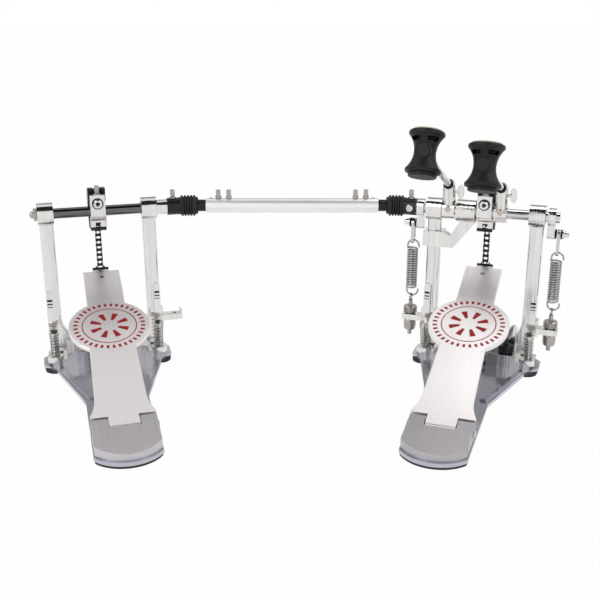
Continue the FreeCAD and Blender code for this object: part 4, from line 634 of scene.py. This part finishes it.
def loop_end(bm, ring, angle, radius, height):
    """Bends the wire up from the coil and turns it over the centre into an open loop."""
    out = Vector((math.cos(angle), math.sin(angle), 0))
    ahead = Vector((-math.sin(angle), math.cos(angle), 0))
    start = out * radius + Vector((0, 0, height))
    result = bmesh.ops.spin(bm, geom=ring, cent=start + Vector((0, 0, BEND_RADIUS)), axis=out,
                            angle=math.radians(90), steps=8)
    straight = LOOP_RISE - BEND_RADIUS - LOOP_RADIUS
    grown = bmesh.ops.extrude_edge_only(bm, edges=only(result["geom_last"], EDGE))
    bmesh.ops.translate(bm, verts=only(grown["geom"], VERT), vec=(0, 0, straight))
    centre = start + ahead * BEND_RADIUS - out * LOOP_RADIUS
    centre.z = height + BEND_RADIUS + straight
    result = bmesh.ops.spin(bm, geom=only(grown["geom"], VERT, EDGE), cent=centre, axis=ahead * -1,
                            angle=LOOP_SWEEP, steps=24)
    bmesh.ops.holes_fill(bm, edges=only(result["geom_last"], EDGE), sides=0)


for hand in HANDS:
    foot = Vector(joints[f"{hand}_spring_swing"]["pos_m"])
    bm = bmesh.new()
    ring, angle = half_spring(bm, COIL_TURNS / 2, COIL_PITCH, COIL_RADIUS, COIL_WIRE)
    half_height = COIL_TURNS / 2 * COIL_PITCH
    loop_end(bm, ring, angle, COIL_RADIUS, half_height)
    other = bmesh.ops.duplicate(bm, geom=bm.verts[:] + bm.edges[:] + bm.faces[:])
    bmesh.ops.rotate(bm, verts=only(other["geom"], VERT), cent=(0, 0, 0),
                     matrix=Matrix.Rotation(math.pi, 3, "X"))
    middle = foot + Vector((0, 0, LOOP_RISE + half_height))
    bm.transform(Matrix.Translation(middle) @ pedal_frame("main").to_3x3().to_4x4())
    spring = finish_piece(bm, f"{hand}_return_spring", spring_wire, 60)
    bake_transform(spring)
    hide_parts(f"{hand}_spring")

# Spring tensioners: eyebolt, round nut above the bracket and cup nut under it, dull nickel.
# A black washer lies under each round nut, and the eye at the top takes the spring's lower loop.
SPRING_X = 83.9
EYE_RADIUS = 4.3
EYE_WIRE = 1.2
EYE_NECK = 4
ROUND_NUT = ((2.5, 54.6), (7.4, 54.6), (8.1, 55.3), (8.1, 61.8), (7.3, 62.7), (2.5, 62.7))
CUP_NUT = ((2.5, 32), (5, 32), (6.4, 32.8), (7.1, 34.4), (7.5, 38), (7.5, 45.2), (6.9, 46), (2.5, 46))
NUT_WASHER = ((2.5, 53), (6, 53), (6, 54.6), (2.5, 54.6))
eye_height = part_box("spring_tensioners")[1].z / MM - EYE_RADIUS - EYE_WIRE
stem_top = eye_height - EYE_NECK
bm = bmesh.new()
black_rings = bmesh.new()
for x in (-SPRING_X, SPRING_X):
    foot = spot("main", x, 0, 0)
    turned(bm, ((0, 25.5), (2, 25.5), (2.5, 26), (2.5, stem_top), (0, stem_top)), foot)
    turned(bm, ROUND_NUT, foot, 60, True)
    turned(bm, CUP_NUT, foot)
    known = set(bm.verts)
    lay = Matrix.Translation((0, EYE_RADIUS * MM, 0)) @ RIGHT @ FRONT
    wire = bmesh.ops.create_circle(bm, radius=EYE_WIRE * MM, segments=14, matrix=lay)
    hoop = wire["verts"] + list({edge for vert in wire["verts"] for edge in vert.link_edges})
    bmesh.ops.spin(bm, geom=hoop, cent=(0, 0, 0), axis=(1, 0, 0), angle=2 * math.pi, steps=40,
                   use_merge=True)
    bmesh.ops.transform(bm, matrix=spot("main", x, 0, eye_height),
                        verts=[vert for vert in bm.verts if vert not in known])
    turned(black_rings, NUT_WASHER, foot)
tensioners = finish_piece(bm, "tensioner_bolts", dull_nickel)
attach(tensioners, "main_frame")
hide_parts("spring_tensioners")
rings = finish_piece(black_rings, "tensioner_washers", black_steel)
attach(rings, "main_frame")

# Spurs and their springs: pointed screws through each foot, whose knurled heads lean towards the player.
# A short open coil between the foot's boss and the head keeps each from working loose.
SPUR_X = 61.8 * MM
SPUR_Y = -11 * MM
SPUR_FOOT = 16 * MM
SPUR_LEAN = math.radians(18.2)
SPUR_COIL_RADIUS = 4.5 * MM
SPUR_WIRE = 1.3 * MM
SPUR_TURNS = 6
SPUR_FREE = 29.7 * MM
SPUR = ((0, -15), (1, -15), (3, -10), (3, 30), (4.6, 30), (5.5, 30.8), (5.5, 35.2), (4.7, 36.2),
        (0, 36.5))
for side in SIDES:
    bm = bmesh.new()
    pitch = (SPUR_FREE - 2 * SPUR_WIRE) / SPUR_TURNS
    half_spring(bm, SPUR_TURNS, pitch, SPUR_COIL_RADIUS, SPUR_WIRE)
    bmesh.ops.holes_fill(bm, edges=[edge for edge in bm.edges if edge.is_boundary], sides=0)
    bmesh.ops.translate(bm, verts=bm.verts, vec=(0, 0, SPUR_WIRE))
    bm.transform(Matrix.Translation((SPUR_X, SPUR_Y, SPUR_FOOT)) @ Matrix.Rotation(SPUR_LEAN, 4, "X"))
    other = bmesh.ops.duplicate(bm, geom=bm.verts[:] + bm.edges[:] + bm.faces[:])
    bmesh.ops.translate(bm, verts=only(other["geom"], VERT), vec=(-2 * SPUR_X, 0, 0))
    bm.transform(pedal_frame(side))
    coils = finish_piece(bm, f"{side}_spur_coils", spring_wire, 60)
    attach(coils, f"{side}_frame")
    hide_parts(f"{side}_spur_springs")
    bm = bmesh.new()
    for x in (-SPUR_X, SPUR_X):
        lean = Matrix.Translation((x, SPUR_Y, SPUR_FOOT)) @ Matrix.Rotation(SPUR_LEAN, 4, "X")
        turned(bm, SPUR, pedal_frame(side) @ lean, 36, True)
    spur_screws = finish_piece(bm, f"{side}_knurled_spurs", nickel)
    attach(spur_screws, f"{side}_spurs")
    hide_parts(f"{side}_spurs")

# Clamp screw: a black knurled knob on a stem, standing on the foot beside the footboard.
# Two polished wings lean apart on its top; turning it tips the hoop clamp's jaw.
CLAMP_X = 36
CLAMP_Y = -14
KNOB_HEIGHT = 22.3
WING_HEIGHT = 48.8
WING_SPREAD = 6
WING_LEAN = math.radians(20)
KNOB = ((0, -7.5), (3, -7.5), (3, 0), (7.6, 0), (8.5, 0.9), (8.5, 9.1), (7.6, 10), (3.4, 10), (2.6, 18),
        (0, 18))
bm = bmesh.new()
turned(bm, KNOB, spot("main", CLAMP_X, CLAMP_Y, KNOB_HEIGHT), 36, True)
knob = finish_piece(bm, "clamp_knob", black_steel)
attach(knob, "clamp_wing_screw")
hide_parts("clamp_wing_screw")
bm = bmesh.new()
for half in (-1, 1):
    lean = Matrix.Rotation(half * WING_LEAN, 4, "Y")
    oval_blade(bm, spot("main", CLAMP_X + half * WING_SPREAD, CLAMP_Y, WING_HEIGHT, lean), 4.6, 9.5, 2.2)
wing = finish_piece(bm, "clamp_wing", chrome)
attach(wing, "clamp_wing_screw")

# Boots: moulded rubber bellows over the universal joints, with five ribs and a plain cuff at each end.
# Each is spun straight and then bent from the axle's line to the linkage's.
JOINT_REACH = 104 * MM
BOOT_HALF = 8.7 * MM
BOOT_LENGTH = 22.2 * MM
BOOT_CUFF = 2 * MM
BOOT_RIBS = 5
BOOT_RIB_RADIUS = 12.5 * MM
BOOT_VALLEY_RADIUS = 10.2 * MM
BOOT_WALL = 0.7 * MM
RIB_SHAPE = ((0.2, 0.75), (0.35, 1), (0.6, 1), (0.75, 0.75), (0.95, 0))
for side, name in (("main", "right"), ("slave", "left")):
    step = (BOOT_LENGTH - 2 * BOOT_CUFF) / BOOT_RIBS
    profile = [(0, BOOT_VALLEY_RADIUS), (BOOT_CUFF, BOOT_VALLEY_RADIUS)]
    for i in range(BOOT_RIBS):
        for share, high in RIB_SHAPE:
            rib = BOOT_VALLEY_RADIUS + high * (BOOT_RIB_RADIUS - BOOT_VALLEY_RADIUS)
            profile.append((BOOT_CUFF + (i + share) * step, rib))
    profile.append((BOOT_LENGTH, BOOT_VALLEY_RADIUS))
    inner = [(along, radius - BOOT_WALL) for along, radius in reversed(profile)]
    bm = bmesh.new()
    ring = [bm.verts.new((along, 0, radius)) for along, radius in profile + inner]
    edges = [bm.edges.new(pair) for pair in zip(ring, ring[1:] + ring[:1])]
    bmesh.ops.spin(bm, geom=ring + edges, cent=(0, 0, 0), axis=(1, 0, 0), angle=2 * math.pi, steps=48,
                   use_merge=True)
    yaw = pedal_frame(side).to_euler().z
    bend_radius = BOOT_HALF / math.tan(abs(yaw) / 2)
    for vert in bm.verts:
        share = min(vert.co.x / (2 * BOOT_HALF), 1)
        straight = max(vert.co.x - 2 * BOOT_HALF, 0)
        turn = Matrix.Rotation(-abs(yaw) * share, 4, "Z")
        centre = Vector((-BOOT_HALF, -bend_radius, 0))
        vert.co = centre + turn @ Vector((straight, bend_radius + vert.co.y, vert.co.z))
    if side == "slave":
        lay = Matrix.Translation((JOINT_REACH, 0, 0))
    else:
        lay = Matrix.Translation((-JOINT_REACH, 0, 0)) @ Matrix.Rotation(math.pi, 4, "Y")
    lift = Matrix.Translation((0, 0, joints[f"{side}_shaft_turn"]["pos_m"][2]))
    bm.transform(pedal_frame(side) @ lift @ lay)
    boot = finish_piece(bm, f"{name}_bellows", rubber, 40)
    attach(boot, f"{side}_frame")
    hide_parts(f"{name}_boot")

# Foot disc print: red ink on the round of each footboard, laid a hair above the metal.
# A ring of short bars, a thin ring and a rosette of wedges.
DISC_ALONG = 157.8 * MM
BOARD_TOP = 6.9 * MM
INK_THICK = 0.06 * MM
BAR_COUNT = 36
BAR_RING = (35 * MM, 40 * MM)
BAR_SWEEP = math.radians(4.5)
THIN_RING = (29.5 * MM, 30.7 * MM)
WEDGE_COUNT = 8
WEDGE_RING = (10 * MM, 22 * MM)
WEDGE_HALF = math.radians(9)
red_ink, tree, shader = new_material("red_ink", (0.33, 0.012, 0.022), 0.0, 0.45)
shader.inputs["Specular IOR Level"].default_value = 0.25
add_marks(tree, shader, 800, 0.38, 0.55)


def arc_patch(bm, inner, outer, start, end, steps):
    """A flat stretch of a ring between two radii and two angles."""
    first = bm.verts.new((inner * math.cos(start), inner * math.sin(start), 0))
    second = bm.verts.new((outer * math.cos(start), outer * math.sin(start), 0))
    edge = bm.edges.new((first, second))
    bmesh.ops.spin(bm, geom=[first, second, edge], cent=(0, 0, 0), axis=(0, 0, 1), angle=end - start,
                   steps=steps, use_merge=False)


def thicken(bm, height):
    """Raises flat patches into thin plates."""
    raised = bmesh.ops.extrude_face_region(bm, geom=bm.faces[:])
    bmesh.ops.translate(bm, verts=only(raised["geom"], VERT), vec=(0, 0, height))


def on_board(side, along):
    """A place on top of a footboard, some way from its hinge, tilted as the board is."""
    hinge = Matrix.Translation(joints[f"{side}_footboard_press"]["pos_m"])
    tilt = Euler((BOARD_PITCH[side], 0, pedal_frame(side).to_euler().z)).to_matrix().to_4x4()
    return hinge @ tilt @ Matrix.Translation((0, along, BOARD_TOP))


for side in SIDES:
    bm = bmesh.new()
    for i in range(BAR_COUNT):
        angle = 2 * math.pi * i / BAR_COUNT
        arc_patch(bm, *BAR_RING, angle, angle + BAR_SWEEP, 3)
    arc_patch(bm, *THIN_RING, 0, 2 * math.pi, 96)
    for i in range(WEDGE_COUNT):
        angle = 2 * math.pi * (i + 0.5) / WEDGE_COUNT
        arc_patch(bm, *WEDGE_RING, angle - WEDGE_HALF, angle + WEDGE_HALF, 6)
    bmesh.ops.remove_doubles(bm, verts=bm.verts, dist=TOUCHING)
    thicken(bm, INK_THICK)
    bm.transform(on_board(side, DISC_ALONG))
    print_ink = finish_piece(bm, f"{side}_disc_print", red_ink)
    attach(print_ink, f"{side}_footboard")

# Lobe rims: black rubber crescents under the slanted front edge of each lobe of the base plates.
# They are moulded with the feet and stand a hair above the floor.
LOBE = Vector((61.5, -17, 0.03)) * MM
RIM_INNER = 9 * MM
RIM_OUTER = 13 * MM
RIM_HEIGHT = 2.9 * MM
RIM_START = math.radians(-111)
RIM_END = math.radians(39)
for side in SIDES:
    bm = bmesh.new()
    arc_patch(bm, RIM_INNER, RIM_OUTER, RIM_START, RIM_END, 30)
    thicken(bm, RIM_HEIGHT)
    bmesh.ops.translate(bm, verts=bm.verts, vec=LOBE)
    bmesh.ops.mirror(bm, geom=bm.verts[:] + bm.edges[:] + bm.faces[:], axis="X", merge_dist=-1)
    bm.transform(pedal_frame(side))
    rims = finish_piece(bm, f"{side}_lobe_rims", rubber)
    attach(rims, f"{side}_frame")

# Board screws and rail marks: a dark countersunk screw on each board's tab, and black bars near the top
# of each rail that show the height of the brackets.
TAB_ALONG = 252 * MM
TAB_SCREW = ((2.3, -0.3), (2.3, 0.05), (1.9, 0.12), (1.1, 0.12), (1.1, -0.2), (0, -0.2))
RAIL_X = 63
RAIL_FACE = -5
BAR_ROWS = ((83, 2.6), (78.6, 1.6), (75, 0.9))
BAR_WIDE = 6 * MM
BAR_THICK = 0.2 * MM
for side in SIDES:
    bm = bmesh.new()
    turned(bm, TAB_SCREW, on_board(side, TAB_ALONG), 32)
    screw = finish_piece(bm, f"{side}_tab_screw", black_steel)
    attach(screw, f"{side}_footboard")
    bm = bmesh.new()
    for x in (-RAIL_X, RAIL_X):
        for height, tall in BAR_ROWS:
            lay = spot(side, x, RAIL_FACE, height) @ Matrix.Diagonal((BAR_WIDE, BAR_THICK, tall * MM, 1))
            bmesh.ops.create_cube(bm, size=1, matrix=lay)
    bars = finish_piece(bm, f"{side}_rail_marks", black_steel)
    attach(bars, f"{side}_frame")

# Studio: a white floor and a white surround that the metal mirrors too, soft lamps and the camera.
# Grey and black cards outside the view give the polished parts something dark to mirror, and a bright one
# puts a sheen on the main footboard. Only mirrored rays meet the cards.
CAMERA_PLACE = Vector((2.6, -936.7, 442.9)) * MM
CAMERA_DOWN = math.radians(19.16)
CAMERA_LENS = 55.59
ROOM_LIGHT = 0.5
FLOOR_WHITE = 0.97
FLOOR_HALF = 8
LAMP_AIM = Vector((0, 0, 0.12))
scene = bpy.context.scene
scene.view_settings.view_transform = "Standard"


def plain_white_share(tree, most):
    """How far a ray meets plain white: the camera's rays and those seen in metal and glass."""
    path = tree.nodes.new("ShaderNodeLightPath")
    last = path.outputs["Is Camera Ray"]
    for name in ("Is Glossy Ray", "Is Transmission Ray"):
        larger = tree.nodes.new("ShaderNodeMath")
        larger.operation = "MAXIMUM"
        tree.links.new(last, larger.inputs[0])
        tree.links.new(path.outputs[name], larger.inputs[1])
        last = larger.outputs["Value"]
    share = tree.nodes.new("ShaderNodeMath")
    share.operation = "MULTIPLY"
    share.inputs[1].default_value = most
    tree.links.new(last, share.inputs[0])
    return share.outputs["Value"]


world = bpy.data.worlds.new("studio")
scene.world = world
world.use_nodes = True
tree = world.node_tree
room = tree.nodes["Background"]
room.inputs["Color"].default_value = (1, 1, 1, 1)
room.inputs["Strength"].default_value = ROOM_LIGHT
white = tree.nodes.new("ShaderNodeBackground")
white.inputs["Color"].default_value = (1, 1, 1, 1)
white.inputs["Strength"].default_value = 1
choose = tree.nodes.new("ShaderNodeMixShader")
tree.links.new(plain_white_share(tree, 1), choose.inputs["Fac"])
tree.links.new(room.outputs["Background"], choose.inputs[1])
tree.links.new(white.outputs["Background"], choose.inputs[2])
tree.links.new(choose.outputs["Shader"], tree.nodes["World Output"].inputs["Surface"])

bm = bmesh.new()
bmesh.ops.create_grid(bm, x_segments=1, y_segments=1, size=FLOOR_HALF)
floor_paint, tree, shader = new_material("white_floor", (0.95, 0.95, 0.95), 0.0, 0.9)
glow = tree.nodes.new("ShaderNodeEmission")
mix = tree.nodes.new("ShaderNodeMixShader")
tree.links.new(plain_white_share(tree, FLOOR_WHITE), mix.inputs["Fac"])
tree.links.new(shader.outputs["BSDF"], mix.inputs[1])
tree.links.new(glow.outputs["Emission"], mix.inputs[2])
tree.links.new(mix.outputs["Shader"], tree.nodes["Material Output"].inputs["Surface"])
finish_piece(bm, "floor", floor_paint)

CARDS = (
    ("top_card", (0, -0.93, 2.4), (0, 0, 0), (2.6, 2.54), 0.02),
    ("back_card", (0, 1.35, 1.05), (-52, 0, 0), (4.0, 1.0), 0.36),
    ("bright_card", (0.24, 0.17, 0.56), (-31, 0, 0), (0.26, 0.16), 2.4),
    ("left_card", (-1.7, -0.5, 0.75), (90, 0, 90), (0.7, 1.3), 0.05),
    ("right_card", (1.7, -0.5, 0.75), (90, 0, 90), (0.7, 1.3), 0.05),
)
for name, place, turn, size, shade in CARDS:
    bm = bmesh.new()
    bmesh.ops.create_grid(bm, x_segments=1, y_segments=1, size=0.5)
    bmesh.ops.scale(bm, verts=bm.verts, vec=(size[0], size[1], 1))
    lean = Euler([math.radians(degrees) for degrees in turn]).to_matrix().to_4x4()
    bm.transform(Matrix.Translation(place) @ lean)
    card_paper = bpy.data.materials.new(name)
    card_paper.use_nodes = True
    tree = card_paper.node_tree
    tree.nodes.remove(tree.nodes["Principled BSDF"])
    glow = tree.nodes.new("ShaderNodeEmission")
    glow.inputs["Color"].default_value = (shade, shade, shade, 1)
    tree.links.new(glow.outputs["Emission"], tree.nodes["Material Output"].inputs["Surface"])
    card = finish_piece(bm, name, card_paper)
    card.visible_camera = False
    card.visible_diffuse = False
    card.visible_shadow = False

LAMPS = (
    ("key_lamp", (-1.1, -0.9, 1.7), 1.1, 12),
    ("fill_lamp", (1.3, -0.5, 1.5), 1.1, 7),
)
for name, place, size, power in LAMPS:
    lamp = bpy.data.lights.new(name, "AREA")
    lamp.size = size
    lamp.energy = power
    holder = bpy.data.objects.new(name, lamp)
    holder.location = place
    holder.rotation_euler = (LAMP_AIM - Vector(place)).to_track_quat("-Z", "Y").to_euler()
    scene.collection.objects.link(holder)

camera = bpy.data.cameras.new("camera")
camera.sensor_width = 36
camera.lens = CAMERA_LENS
eye = bpy.data.objects.new("camera", camera)
eye.location = CAMERA_PLACE
eye.rotation_euler = (math.radians(90) - CAMERA_DOWN, 0, 0)
scene.collection.objects.link(eye)
scene.camera = eye
